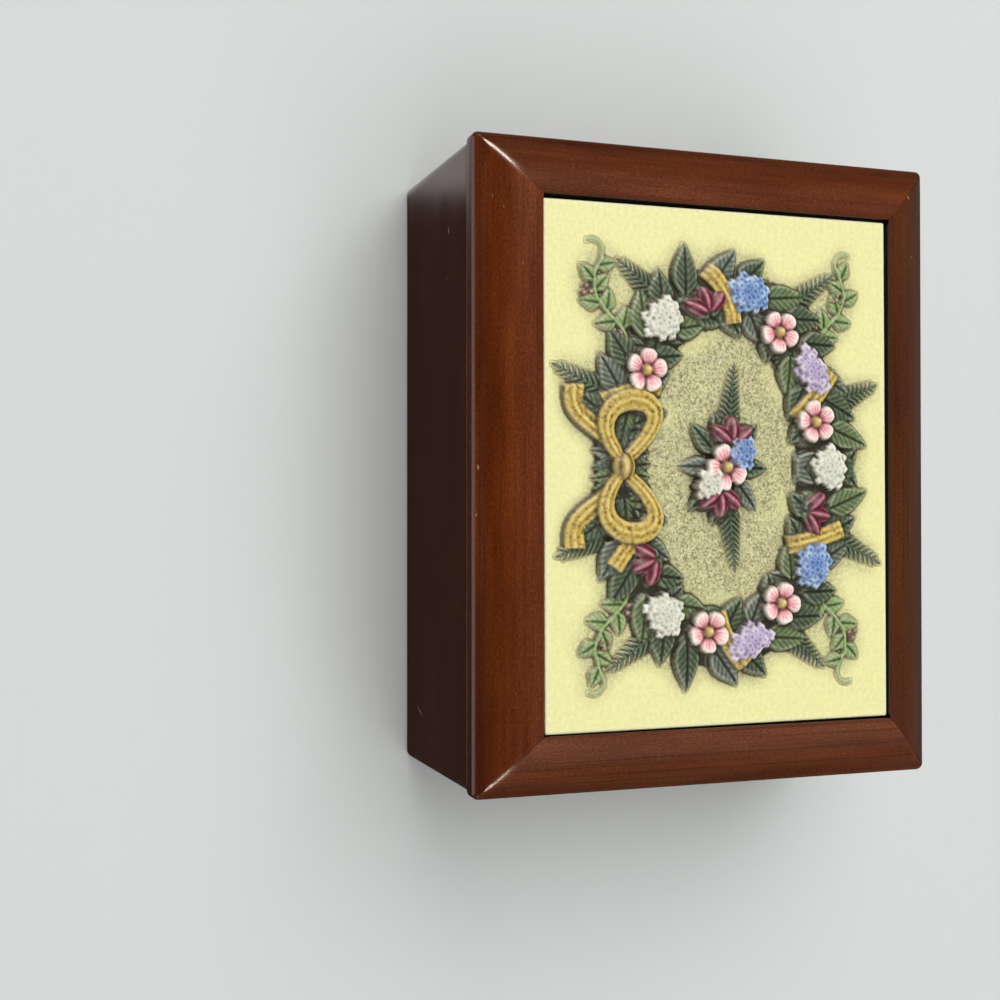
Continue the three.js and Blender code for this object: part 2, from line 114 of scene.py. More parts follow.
def mitred_run(side, width, depth, corner, section, crest=None):
    """Runs a section along one side between two mitres, round the frame's corners in plan. crest gives a
    point's height from its distances to the two outer faces that meet at the mitre."""
    half = (width if side in ("front", "back") else depth) / 2
    distances = [MITRE_GAP + step for step in MITRE_STEPS]
    shares = [(k + 1) / MIDDLE_STEPS for k in range(MIDDLE_STEPS)]
    points = []
    grain = []
    wear_and_shade = []

    def add_station(way, distance, share):
        for u, z, worn_and_shaded in section:
            radius = max(corner - u, 0)
            arc = radius * math.pi / 4
            whole = arc + half - max(u, corner)
            s = distance + (whole - distance) * share
            along = half - max(u, corner) - (s - arc)
            inward = u
            if s < arc:
                turn = math.pi / 4 - s / radius
                along = half - corner + radius * math.sin(turn)
                inward = corner - radius * math.cos(turn)
            if crest:
                z = crest(u, z, half - along)
            points.append((*side_place(side, width, depth, way * along, inward), z))
            grain.append((way * along, u + z, BOARD_APART * SIDES.index(side)))
            wear_and_shade.append(worn_and_shaded)

    for distance in distances:
        add_station(-1, distance, 0)
    for share in shares:
        add_station(-1, distances[-1], share)
    for share in shares[-2::-1]:
        add_station(1, distances[-1], share)
    for distance in distances[::-1]:
        add_station(1, distance, 0)
    return points, ring_faces(len(section), len(points) // len(section)), grain, wear_and_shade


def add_object(name, data):
    """Makes an object of a mesh, a light or a camera, and puts it in the scene."""
    added = bpy.data.objects.new(name, data)
    bpy.context.scene.collection.objects.link(added)
    return added


def make_piece(name, points, faces, material, node, grain, wear_and_shade):
    """Makes a closed wooden piece from millimetres, and sets it in the place of its CAD node."""
    mesh = bpy.data.meshes.new(name)
    mesh.from_pydata([[MM * value for value in point] for point in points], [], faces)
    solid = bmesh.new()
    solid.from_mesh(mesh)
    bmesh.ops.recalc_face_normals(solid, faces=solid.faces)
    solid.to_mesh(mesh)
    solid.free()
    mesh.shade_smooth()
    mesh.set_sharp_from_angle(angle=math.radians(CREASE_DEGREES))
    mesh.attributes.new("grain", "FLOAT_VECTOR", "POINT").data.foreach_set("vector", np.ravel(grain))
    mesh.attributes.new("wear_and_shade", "FLOAT", "POINT").data.foreach_set("value", np.ravel(wear_and_shade))
    mesh.materials.append(material)
    piece = add_object(name, mesh)
    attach(piece, "root")
    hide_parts(node)


def seen(colour):
    """A hex colour as three sRGB values."""
    return np.array([int(colour[place:place + 2], 16) / 255 for place in (1, 3, 5)])


def linear(colour):
    """Turns an sRGB hex colour, or an array of sRGB values, to linear."""
    values = seen(colour) if isinstance(colour, str) else colour
    return np.where(values <= 0.04045, values / 12.92, ((values + 0.055) / 1.055) ** 2.4)


def add_node(tree, kind, inputs=(), stops=(), **settings):
    """Adds a node with its settings. inputs pairs a socket with a value, with a socket to link from, or with
    a node, which is linked from its first output. stops are a colour ramp's places and colours."""
    node = tree.nodes.new("ShaderNode" + kind)
    for name, value in settings.items():
        setattr(node, name, value)
    for key, value in inputs:
        if isinstance(value, bpy.types.Node):
            value = value.outputs[0]
        if isinstance(value, bpy.types.NodeSocket):
            tree.links.new(value, node.inputs[key])
        else:
            node.inputs[key].default_value = value
    for count, (place, colour) in enumerate(stops):
        elements = node.color_ramp.elements
        if count == 0:
            elements.remove(elements[1])
        element = elements[0] if count == 0 else elements.new(place)
        element.position = place
        element.color = (*linear(colour), 1)
    return node


def new_material(name, constants):
    """A material, its nodes, and its shader, on which the values that hold all over the surface are set."""
    material = bpy.data.materials.new(name)
    material.use_nodes = True
    shader = material.node_tree.nodes["Principled BSDF"]
    for socket, value in constants.items():
        shader.inputs[socket].default_value = value
    return material, material.node_tree, shader


# Stained mahogany under satin lacquer: fine streaks and short dark pores along the grain, broad clouds
# where the stain took unevenly, here and there a darker growth line, and a soft sheen under a sharper one.
# Rounded edges are rubbed a little paler, and a few knocks and scratches go through to the bare wood. Where
# the wear-and-shade value is below 0 the wood is painted darker: painted shade on the lid's edge, in the gap
# round the tile, along the rim and towards two rails' right ends, and a darkening towards the rails' outer
# edges.
# Each part of the figure has its length along the grain, its width across it, and its detail.
WOOD_FIGURE = {
    "streaks": (9.0, 0.36, 5),
    "clouds": (40.0, 7.0, 3),
    "growth lines": (130.0, 1.1, 2),
    "pores": (2.6, 0.22, 2),
    "rubbed spots": (3.0, 3.0, 4),
    "flecks": (0.8, 0.42, 2),
}
LOOSE_GRAIN = 0.62
FLECK_SHARE = 0.74
CLOUD_SHARE = 0.36
LINE_RANGE = (0.46, 0.34)
PORE_RANGE = (0.36, 0.26)
PORE_SHARE = 0.5
RUBBED_RANGE = (0.45, 0.7)
RUBBED_SHARE = 0.5
MARK_RANGE = (1.1, 0.5)
SHADE_AND_DARKENING_RANGE = (0, -1)
CLOUD_RANGE = (0.3, 0.7)
GLOSSIER = 0.02
DULLER = 0.03
PORE_BUMP = 0.3
PORE_DEPTH = 0.02
PORE_COLOUR = "#2A0E05"
SHADE_AND_DARKENING = "#120804"
BARE_WOOD = "#C39A78"


def mahogany(name, stain, rubbed, lines, sheen, roughness, coat, coat_roughness, marks=()):
    """marks are (side, along, across, turn, half length, half width, how bare) on the lacquered faces."""
    material, tree, shader = new_material(name, {
        "Specular IOR Level": sheen, "Coat Weight": coat, "Coat Roughness": coat_roughness})
    grain = add_node(tree, "Attribute", attribute_name="grain").outputs["Vector"]
    wear_and_shade = add_node(tree, "Attribute", attribute_name="wear_and_shade").outputs["Fac"]
    figure = {}
    for part, (length, width, detail) in WOOD_FIGURE.items():
        scale = (1 / length, 1 / width, 1)
        stretched = add_node(tree, "Mapping", [("Vector", grain), ("Scale", scale)])
        figure[part] = add_node(tree, "TexNoise", [
            ("Vector", stretched), ("Scale", 1), ("Detail", detail), ("Roughness", LOOSE_GRAIN)])
    fine = add_node(tree, "Mix", [(0, FLECK_SHARE), (2, figure["streaks"]), (3, figure["flecks"])])
    tone = add_node(tree, "Mix", [(0, CLOUD_SHARE), (2, fine), (3, figure["clouds"])])
    colour = add_node(tree, "ValToRGB", [(0, tone)], stain).outputs[0]
    most_rubbed = add_node(tree, "Math", [(0, wear_and_shade), (1, RUBBED_SHARE)], operation="MULTIPLY")
    layers = [
        (figure["growth lines"], LINE_RANGE, lines, PORE_COLOUR),
        (figure["pores"], PORE_RANGE, PORE_SHARE, PORE_COLOUR),
        (figure["rubbed spots"], RUBBED_RANGE, most_rubbed, rubbed),
    ]
    for side, along, across, turn, half_length, half_width, bareness in marks:
        there = (along, across, BOARD_APART * SIDES.index(side))
        mark = add_node(tree, "Mapping", [
            ("Vector", grain), ("Location", there), ("Rotation", (0, 0, turn)),
            ("Scale", (half_length, half_width, 1))], vector_type="TEXTURE")
        reach = add_node(tree, "VectorMath", [(0, mark)], operation="LENGTH")
        layers.append((reach.outputs["Value"], MARK_RANGE, bareness, BARE_WOOD))
    # Below 0 the wood is painted towards near-black: painted shade, and on the rails a darkening towards the
    # outer edge.
    layers.append((wear_and_shade, SHADE_AND_DARKENING_RANGE, 1, SHADE_AND_DARKENING))
    for value, (none, full), most, over in layers:
        share = add_node(tree, "MapRange", [
            ("Value", value), ("From Min", none), ("From Max", full), ("To Max", most)])
        covered = add_node(tree, "Mix", [
            (0, share), (6, colour), (7, (*linear(over), 1))], data_type="RGBA")
        colour = covered.outputs[2]
    tree.links.new(colour, shader.inputs["Base Color"])
    gloss = add_node(tree, "MapRange", [
        ("Value", figure["clouds"]), ("From Min", CLOUD_RANGE[0]), ("From Max", CLOUD_RANGE[1]),
        ("To Min", roughness - GLOSSIER), ("To Max", roughness + DULLER)])
    tree.links.new(gloss.outputs[0], shader.inputs["Roughness"])
    relief = add_node(tree, "Bump", [
        ("Height", figure["pores"]), ("Strength", PORE_BUMP), ("Distance", PORE_DEPTH * MM)])
    tree.links.new(relief.outputs[0], shader.inputs["Normal"])
    return material


WALL_MARKS = (
    ("front", 58.1, 12.0, 1.15, 2.8, 0.14, 0.8),
    ("front", 58.0, 28.0, 1.3, 1.8, 0.2, 0.12),
    ("front", -53.6, 35.6, 0.1, 0.85, 0.2, 1.0),
    ("front", -43.0, 34.5, 0.1, 0.6, 0.12, 0.45),
)
# The boards' stain is darker than the rails': partly a darker stain, partly painted shade for the front
# face.
dark_mahogany_with_shade = mahogany(
    "dark stained mahogany under satin lacquer",
    [(0.37, "#331508"), (0.5, "#431E0B"), (0.63, "#562810")],
    "#5E3A2A", lines=0.3, sheen=0.4, roughness=0.1, coat=0, coat_roughness=0.2, marks=WALL_MARKS)
inner_face = WALL - FLOOR_LAP
board_section = eased([
    (0, 0, BOARD_EASE),
    (inner_face, 0, 0),
    (inner_face, FLOOR, 0),
    (WALL, FLOOR, 0),
    (WALL, BODY_HEIGHT, BOARD_EASE),
    (0, BODY_HEIGHT, BOARD_EASE),
])
for side in SIDES:
    points, faces, grain, wear_and_shade = mitred_run(side, BODY_WIDTH, BODY_DEPTH, BODY_CORNER, board_section)
    points = [(x, y + BODY_SHIFT_Y, z) for x, y, z in points]
    node = f"body_{side}_board"
    make_piece(f"{side}_wall", points, faces, dark_mahogany_with_shade, node, grain, wear_and_shade)

# Bottom board
# A thin board let into the walls' rabbet from below and glued. Nobody sees it in use, so it is sanded,
# stained once and left without lacquer.

PANEL_EASE = 0.4
PANEL_CORNER = 0.5
PANEL_BEND = 0.3
CORNER_STEPS = 4
FIT_GAP = 0.1


def board_outline(width, depth, radius):
    """A rounded rectangle as x, y pairs."""
    points = []
    for quarter, (sx, sy) in enumerate(((1, 1), (-1, 1), (-1, -1), (1, -1))):
        for step in range(CORNER_STEPS + 1):
            angle = math.pi / 2 * (quarter + step / CORNER_STEPS)
            x = sx * (width / 2 - radius) + radius * math.cos(angle)
            y = sy * (depth / 2 - radius) + radius * math.sin(angle)
            points.append((x, y))
    return points


def plain_panel(name, node, width, depth, shift_y, bottom, top, material):
    """A flat board with rounded edges, from stacked outlines."""
    bend = PANEL_EASE * PANEL_BEND
    levels = [(PANEL_EASE, bottom), (bend, bottom + bend), (0, bottom + PANEL_EASE)]
    levels += [(inset, bottom + top - z) for inset, z in levels[::-1]]
    points = []
    for inset, z in levels:
        outline = board_outline(width - 2 * inset, depth - 2 * inset, PANEL_CORNER)
        points += [(x, y + shift_y, z) for x, y in outline]
    faces = ring_faces(len(points) // len(levels), len(levels))
    grain = [(x, y + z, top) for x, y, z in points]
    make_piece(name, points, faces, material, node, grain, [0] * len(points))


# Plain stained board: the same streaks, paler and dry, with no lacquer over them.
plain_board = mahogany(
    "plain board under a thin brown stain",
    [(0.3, "#4A3020"), (0.5, "#6B4A30"), (0.7, "#83603F")],
    "#8C6A48", lines=0.3, sheen=0.3, roughness=0.68, coat=0, coat_roughness=0.3)
lap = 2 * (inner_face + FIT_GAP)
plain_panel(
    "floor_panel", "bottom_board", BODY_WIDTH - lap, BODY_DEPTH - lap, BODY_SHIFT_Y,
    0, FLOOR - FIT_GAP, plain_board)

# Lid rails
# Four mahogany rails, mitred into a frame. A cutter gave their upper face its cushion shape, and the
# mitres were sanded and lacquered together, so that each ridge is soft and holds a line of light.

LID_OVERHANG_X = 0.8
LID_OVERHANG_Y = 0.5
LID_EDGE = 4.9
LID_RISE = 6.0
LID_CORNER = 1.6
EDGE_ROUND = 1.5
RAIL = 13.9
RIM_ROUND = 0.3
FOOT_SHARE = 0.75
ARRIS_INSET = 0.13
ARRIS_FALL = 0.4
RIM_STEPS = 4
CUSHION_STEPS = 18
ARRIS_STEPS = 6
PANEL_LAP = 5.6
PANEL_TOP = 5.0
# Darker towards the outer edge of the rails' upper face, and painted shade on the lid's edge and along the
# rim.
OUTER_DARKENING = 0.42
OUTER_DARKENING_REACH = 7.0
ARRIS_SHADE = 0.14
RIDGE_SOFTNESS = 1.8
RIDGE_START = 1.5
RIM_SHADE = 0.2
RIM_SHADE_REACH = 1.6
END_SHADE = 0.16
END_SHADE_REACH = 62.0
RAIL_EASE = 0.35
LID_WIDTH = BODY_WIDTH + 2 * LID_OVERHANG_X
LID_DEPTH = BODY_DEPTH + 2 * LID_OVERHANG_Y
ARRIS = BODY_HEIGHT + LID_EDGE
RIM = ARRIS + LID_RISE


def bent(start, pull, end, steps):
    """Points after start on a curve that leaves it towards pull and comes in to end from there."""
    points = []
    for step in range(1, steps + 1):
        t = step / steps
        place = [a * (1 - t) ** 2 + b * 2 * t * (1 - t) + c * t ** 2 for a, b, c in zip(start, pull, end)]
        points.append((*place, 0))
    return points


rim_low = (RAIL, RIM - RIM_ROUND)
rim_top = (RAIL - RIM_ROUND, RIM)
cushion_foot = (FOOT_SHARE * EDGE_ROUND, ARRIS)
arris_pull = (ARRIS_INSET * EDGE_ROUND, ARRIS - ARRIS_FALL * EDGE_ROUND)
# The inner wall below the rim starts near-black: painted shade in the gap round the tile.
upper_face = [(*rim_low, -1)]
upper_face += bent(rim_low, (RAIL, RIM), rim_top, RIM_STEPS)
upper_face += bent(rim_top, (RAIL / 2, RIM - RIM_ROUND), cushion_foot, CUSHION_STEPS)
upper_face += bent(cushion_foot, arris_pull, (0, ARRIS - EDGE_ROUND), ARRIS_STEPS)
# The upper face is painted darker towards its outer edge; painted shade lies on the arris below it and along
# the rim by the tile.
for index, (u, z, _) in enumerate(upper_face[1:]):
    outer_darkening = OUTER_DARKENING * max(0, 1 - u / OUTER_DARKENING_REACH) ** 2 if z >= ARRIS else ARRIS_SHADE
    rim_shade = RIM_SHADE * max(0, 1 - (RAIL - u) / RIM_SHADE_REACH)
    upper_face[index + 1] = (u, z, -outer_darkening - rim_shade)
lower_edge = eased([
    (0, ARRIS - EDGE_ROUND, 0),
    (0, BODY_HEIGHT, RAIL_EASE),
    (RAIL - PANEL_LAP, BODY_HEIGHT, 0),
    (RAIL - PANEL_LAP, BODY_HEIGHT + PANEL_TOP, 0),
    (RAIL, BODY_HEIGHT + PANEL_TOP, 0),
])
# Painted shade: the inner wall near-black down to the rabbet, and the lid's front edge face darker.
lower_edge[-1] = (RAIL, BODY_HEIGHT + PANEL_TOP, -1)
lower_edge[1] = (*lower_edge[1][:2], -ARRIS_SHADE)
rail_section = lower_edge[1:] + upper_face
face_reach = [point[0] for point in upper_face[::-1]]
face_height = [point[1] for point in upper_face[::-1]]


def soft_ridge(u, z, other):
    """Lowers the upper face a little where it meets the next rail's, so that the mitre has no hard ridge."""
    if z <= BODY_HEIGHT + PANEL_TOP or u < LID_CORNER:
        return z
    softness = RIDGE_SOFTNESS * min(1, (u - LID_CORNER) / RIDGE_START)
    near = max(softness - abs(other - u), 0)
    if near == 0:
        return z
    return float(np.interp(min(u, other) - near ** 2 / (4 * softness), face_reach, face_height))


RAIL_MARKS = (
    ("front", 0.6, 54.9, 0.2, 0.65, 0.35, 0.8),
    ("front", 10.8, 54.2, 0.2, 0.3, 0.25, 0.8),
    ("front", -57.5, 59.6, 0.05, 0.55, 0.12, 0.5),
    ("front", -55.0, 63.0, 0.6, 0.4, 0.2, 0.3),
    ("front", -43.0, 68.5, 0.05, 0.7, 0.1, 0.3),
    ("front", 48.6, 66.4, 0.3, 0.3, 0.22, 0.12),
    ("front", 51.6, 66.1, 0.3, 0.35, 0.22, 0.07),
    ("back", 64.1, 65.3, 0.4, 0.6, 0.35, 0.5),
    ("back", 50.2, 64.0, 0.2, 0.45, 0.25, 0.4),
)
# Each rail was sawn from another board: the look of its cut, its stain from dark to pale, how strong its
# growth lines are, and its marks. The back rail's darker stain is partly painted shade. The front and left
# rails are painted darker towards their right ends, as painted shade.
STAIN_PLACES = (0.36, 0.46, 0.55, 0.66)
RAIL_CUTS = {
    "front": ("red-brown", ("#461804", "#592405", "#672C08", "#7D3C0D"), 0.28, RAIL_MARKS),
    "back": ("deep", ("#371808", "#45200C", "#50280F", "#623416"), 0.4, RAIL_MARKS),
    "left": ("quiet-grained", ("#451B09", "#54250C", "#612D10", "#753C18"), 0.22, ()),
    "right": ("straight-grained", ("#4A220F", "#5B2D15", "#69361A", "#7D4624"), 0.4, ()),
}
for side, (cut, colours, lines, marks) in RAIL_CUTS.items():
    stained = mahogany(
        f"{cut} stained mahogany under satin lacquer", zip(STAIN_PLACES, colours), "#8A5638", lines=lines,
        sheen=0.45, roughness=0.24, coat=0.05, coat_roughness=0.12, marks=marks)
    points, faces, grain, wear_and_shade = mitred_run(side, LID_WIDTH, LID_DEPTH, LID_CORNER, rail_section, soft_ridge)
    # Painted shade: the front and left rails darker towards their right ends; stain here holds that shade.
    if side in ("front", "left"):
        end_shade = [END_SHADE * min(1, max(0, along / END_SHADE_REACH)) for along, _, _ in grain]
        wear_and_shade = [worn_and_shaded - stain for worn_and_shaded, stain in zip(wear_and_shade, end_shade)]
    make_piece(f"{side}_rail", points, faces, stained, f"lid_{side}_rail", grain, wear_and_shade)

# Lid panel
# The board that closes the lid below the tile. It lies in the rails' rabbet and drops a little way
# between the walls, which keeps the lid from sliding off.

PANEL_DROP = 2.5
lap = 2 * (RAIL - PANEL_LAP + FIT_GAP)
plain_panel(
    "inner_lid_panel", "lid_panel", LID_WIDTH - lap, LID_DEPTH - lap, 0,
    BODY_HEIGHT - PANEL_DROP, BODY_HEIGHT + PANEL_TOP - FIT_GAP, plain_board)

# Relief tile
# One cast resin tile, glued on the panel inside the frame. It was cast with its garland, ribbon and
# middle spray in relief, painted by hand, and washed with thin brown that stayed in the hollows.

TILE_GAP_X = 0.5
TILE_GAP_Y = 0.4
TILE_SHIFT_X = 0.2
TILE_SHIFT_Y = -0.1
TILE_TURN = 0.003
TILE_CORNER = 0.5
TILE_DROP = 0.8
TILE_WIDTH = LID_WIDTH - 2 * RAIL - 2 * TILE_GAP_X
TILE_DEPTH = LID_DEPTH - 2 * RAIL - 2 * TILE_GAP_Y
TILE_GROUND = RIM - TILE_DROP
TILE_BOTTOM = BODY_HEIGHT + PANEL_TOP
CELLS_X = 432
CELLS_Y = 320
BLOCK = 4
TURN = 2 * math.pi
GOLDEN_PART = (math.sqrt(5) - 1) / 2

OVAL_HALF_LENGTH = 38.5
OVAL_HALF_WIDTH = 25.0
MOUND_HALF_WIDTH = 6.0
MOUND_HEIGHT = 1.3

# Each paint is mixed in a few tones, from the darkest to the lightest
DARK_LEAF = ("#171C12", "#323F2C", "#4D5E41", "#8C9A74")
GREY_LEAF = ("#20241C", "#465044", "#6A7566", "#A8AF98")
OLIVE_LEAF = ("#232C1A", "#4C5C36", "#6C7E52", "#A6B48A")
LIGHT_LEAF = ("#3B4A2A", "#6E8649", "#8CA562", "#BCCB94")
PINK = ("#8C1D38", "#D45B73", "#EFB3B4", "#F7E7E0")
HEART = ("#6B4A1C", "#C79A3A", "#E8CD77")
BURGUNDY = ("#330A17", "#651830", "#8A2B45", "#C68492")
BLUE = ("#26375A", "#4A6A9F", "#6E8FC0", "#B4C8E0")
WHITE = ("#83836C", "#BDBDAB", "#D6D6C6", "#E6E5D8")
LILAC = ("#5C4D6B", "#9786AB", "#B9A9C6", "#DCD0DF")
OCHRE = ("#4A3A1C", "#9A7C34", "#C9AC4C", "#E3CF7C")
BERRY = ("#2E1310", "#5A2A24", "#C79A90")
GROUND = seen("#E3DF9E")
CREAM = seen("#E4E0C4")
WASH = seen("#2E2A1C")

FINER = 2
MOTTLE_TONE = 0.05
xs = np.linspace(-TILE_WIDTH / 2, TILE_WIDTH / 2, CELLS_X * FINER + 1)
ys = np.linspace(-TILE_DEPTH / 2, TILE_DEPTH / 2, CELLS_Y * FINER + 1)
spots_x, spots_y = np.meshgrid(xs, ys, indexing="ij")
heights = np.zeros(spots_x.shape)
paint = np.empty((*spots_x.shape, 3))
paint[:] = GROUND
brush = np.random.default_rng(7)


def soften(field, cells, rounds=3):
    """Blurs a field by averaging over cells each way, a few times."""
    pad = [(cells, cells), (cells, cells)]
    for _ in range(rounds):
        sums = np.pad(field, pad, mode="edge").cumsum(0)
        wide = (sums[2 * cells:] - np.pad(sums, [(1, 0), (0, 0)])[:-2 * cells - 1]) / (2 * cells + 1)
        sums = wide.cumsum(1)
        field = (sums[:, 2 * cells:] - np.pad(sums, [(0, 0), (1, 0)])[:, :-2 * cells - 1]) / (2 * cells + 1)
    return field


mottle = soften(brush.normal(size=heights.shape), 1)
mottle /= mottle.std()


def scatter(index):
    """A value from 0 to 1 that looks like chance and is the same each time."""
    return index * GOLDEN_PART % 1


def on_oval(turn, outward):
    """A place on the oval and its outward direction: turn runs once round from the bottom to the right."""
    even = (OVAL_HALF_WIDTH - OVAL_HALF_LENGTH) / (2 * (OVAL_HALF_LENGTH + OVAL_HALF_WIDTH))
    a = TURN * turn + even * math.sin(2 * TURN * turn)
    angle = math.atan2(-math.cos(a) / OVAL_HALF_WIDTH, math.sin(a) / OVAL_HALF_LENGTH)
    x = OVAL_HALF_LENGTH * math.sin(a) + outward * math.cos(angle)
    y = -OVAL_HALF_WIDTH * math.cos(a) + outward * math.sin(angle)
    return x, y, angle


def moved(x, y, angle, along, left=0):
    """A place so far along a direction, and so far to the left of it."""
    c = math.cos(angle)
    s = math.sin(angle)
    return x + along * c - left * s, y + along * s + left * c


def window(x, y, angle, reach):
    """The part of the tile round a place, with distances along and to the left of a direction."""
    i0, i1 = np.searchsorted(xs, (x - reach, x + reach))
    j0, j1 = np.searchsorted(ys, (y - reach, y + reach))
    part = (slice(i0, i1), slice(j0, j1))
    dx = spots_x[part] - x
    dy = spots_y[part] - y
    c = math.cos(angle)
    s = math.sin(angle)
    return part, dx * c + dy * s, dy * c - dx * s


def lay(part, inside, height, colours, tone):
    """Lays a form on the tile where it stands above what is there, painted from dark to light by tone."""
    on_top = inside & (height > heights[part])
    heights[part][on_top] = height[on_top]
    tone = (tone + MOTTLE_TONE * mottle[part])[on_top]
    places = np.linspace(0, 1, len(colours))
    for channel, values in enumerate(np.transpose([seen(colour) for colour in colours])):
        paint[part][..., channel][on_top] = np.interp(tone, places, values)


# Heights and widths of a motif are millimetres. Tones run from 0, its darkest paint, to 1, its lightest.
LEAF_SHOULDER = 0.72
LEAF_CROWN_SHOULDER = 0.8
RIB_WIDTH = 0.26
RIB_DEPTH = 0.32
VEIN_SLANT = 1.1
VEIN_DEPTH = 0.08


def leaf(x, y, angle, length, width, root, tip, colours, crown=0.5, pitch=1.6):
    """A pointed leaf with a sunken rib and slanting veins, dark along the rib and paler to its edges."""
    part, along, left = window(x, y, angle, length)
    share = np.clip(along / length, 0.001, 0.999)
    half = width / 2 * np.sin(math.pi * share ** LEAF_SHOULDER)
    across = np.abs(left) / half
    inside = (along > 0) & (along < length) & (across < 1)
    dome = np.sqrt(np.clip(1 - across ** 2, 0, 1))
    rib = np.exp(-(left / RIB_WIDTH) ** 2)
    vein = np.cos(TURN * (along - VEIN_SLANT * np.abs(left)) / pitch)
    height = root + (tip - root) * share
    height = height + crown * dome * np.sqrt(np.sin(math.pi * share ** LEAF_CROWN_SHOULDER))
    height = height - RIB_DEPTH * rib + VEIN_DEPTH * vein * (1 - rib)
    tone = 0.3 + 0.25 * share + 0.25 * across ** 3 + 0.14 * vein * across - 0.45 * rib
    lay(part, inside, height, colours, tone)


PAINTED_HIGHLIGHT_PLACE = 0.3
PAINTED_HIGHLIGHT_SIZE = 0.3


def berry(x, y, radius, base, colours):
    """A round berry, painted lighter on its top as painted shading, with a spot of painted highlight."""
    part, along, left = window(x, y, 0, radius)
    f = np.hypot(along, left) / radius
    dome = np.sqrt(np.clip(1 - f ** 2, 0, 1))
    # Painted highlight: a pale spot towards the left and back of the middle, and the top painted lighter as
    # shading.
    off_painted_highlight = np.hypot(along + PAINTED_HIGHLIGHT_PLACE * radius, left - PAINTED_HIGHLIGHT_PLACE * radius)
    painted_highlight = np.exp(-(off_painted_highlight / (PAINTED_HIGHLIGHT_SIZE * radius)) ** 2)
    lay(part, f < 1, base + radius * dome, colours, 0.2 + 0.3 * dome + 0.6 * painted_highlight)


PETALS = 5
BLOSSOM_BASE = 1.7
CUP_HEIGHT = 1.5
PETAL_CROWN = 0.55
PETAL_NOTCH = 0.3
PETAL_GAP_DEPTH = 0.8
PETAL_STREAKS = 5
HEART_SHARE = 0.26
HEART_LIFT = 0.6


def blossom(x, y, radius, turn):
    """An open flower of cupped petals, deep pink and streaked at the heart and pale at the edge."""
    part, along, left = window(x, y, 0, radius * 1.1)
    out = np.hypot(along, left)
    wedge = (np.arctan2(left, along) / TURN * PETALS - turn) % 1 - 0.5
    valley = 2 * np.abs(wedge)
    f = out / (radius * (1 - PETAL_NOTCH * valley ** 3.2))
    cup = CUP_HEIGHT * f ** 0.8 * (1 - 0.4 * f ** 4)
    height = BLOSSOM_BASE + cup + PETAL_CROWN * (1 - valley ** 2) * f - PETAL_GAP_DEPTH * valley ** 9
    streak = np.cos(TURN * wedge * PETAL_STREAKS) * np.clip(1.1 - f, 0, 1)
    tone = 0.1 + 0.95 * f - 0.28 * streak - 0.5 * valley ** 8
    lay(part, f < 1, height, PINK, tone)
    berry(x, y, HEART_SHARE * radius, BLOSSOM_BASE + HEART_LIFT, HEART)


BUD_FOLDS = 6
FOLD_DEPTH = 0.14
BUD_SPREAD = 0.9
BUDS_BACK = -2.4
CALYX_LEANS = (-1.4, -0.7, 0, 0.7, 1.4)
CALYX_BACK = -0.6


def bud(x, y, angle, length=6.4, width=3.9, base=1.3, colours=BURGUNDY):
    """A closed bud, folded lengthwise."""
    part, along, left = window(x, y, angle, length)
    share = 2 * along / length - 1
    round_off = np.clip(1 - share ** 2, 0, 1)
    across = left / (width / 2 * np.sqrt(round_off) + 0.001)
    inside = (np.abs(share) < 1) & (np.abs(across) < 1)
    fold = np.cos(np.arcsin(np.clip(across, -1, 1)) * BUD_FOLDS)
    dome = np.sqrt(np.clip(1 - across ** 2, 0, 1) * round_off)
    height = base + width / 2 * dome + FOLD_DEPTH * fold
    lay(part, inside, height, colours, 0.35 + 0.3 * fold + 0.15 * dome)


def buds(x, y, angle):
    """Three buds in a fan, with small leaves round their foot."""
    root = moved(x, y, angle, BUDS_BACK)
    for way in (-1, 1, 0):
        bud(*root, angle + way * BUD_SPREAD)
    foot = moved(*root, angle, CALYX_BACK)
    for lean in CALYX_LEANS:
        aside = angle + lean * BUD_SPREAD
        leaf(*foot, aside, length=3.4, width=1.5, root=2.2, tip=2.4, colours=DARK_LEAF, crown=0.4)


FLORET_NOTCH = 0.25
FLORET_CROWN = 0.5
EYE_SIZE = 0.28
EYE_DEPTH = 0.3
FLORET_SIZE = 1.25
FLORET_CROWDING = 2.1
HEAD_BASE = 1.1
HEAD_RISE = 1.9
HEAD_FLATNESS = 0.85
HEAD_SHARE = 0.96
FLORET_LIFT = 0.25


def floret(x, y, radius, turn, base, colours, light):
    """One small flower of a head, with a dark sunken eye."""
    part, along, left = window(x, y, 0, radius)
    wedge = (np.arctan2(left, along) / TURN * PETALS - turn) % 1 - 0.5
    f = np.hypot(along, left) / (radius * (1 - FLORET_NOTCH * (2 * wedge) ** 2))
    dome = np.sqrt(np.clip(1 - f ** 2, 0, 1))
    eye = np.exp(-(f / EYE_SIZE) ** 2)
    height = base + FLORET_CROWN * dome - EYE_DEPTH * eye
    lay(part, f < 1, height, colours, light + 0.35 * dome - 0.5 * eye)


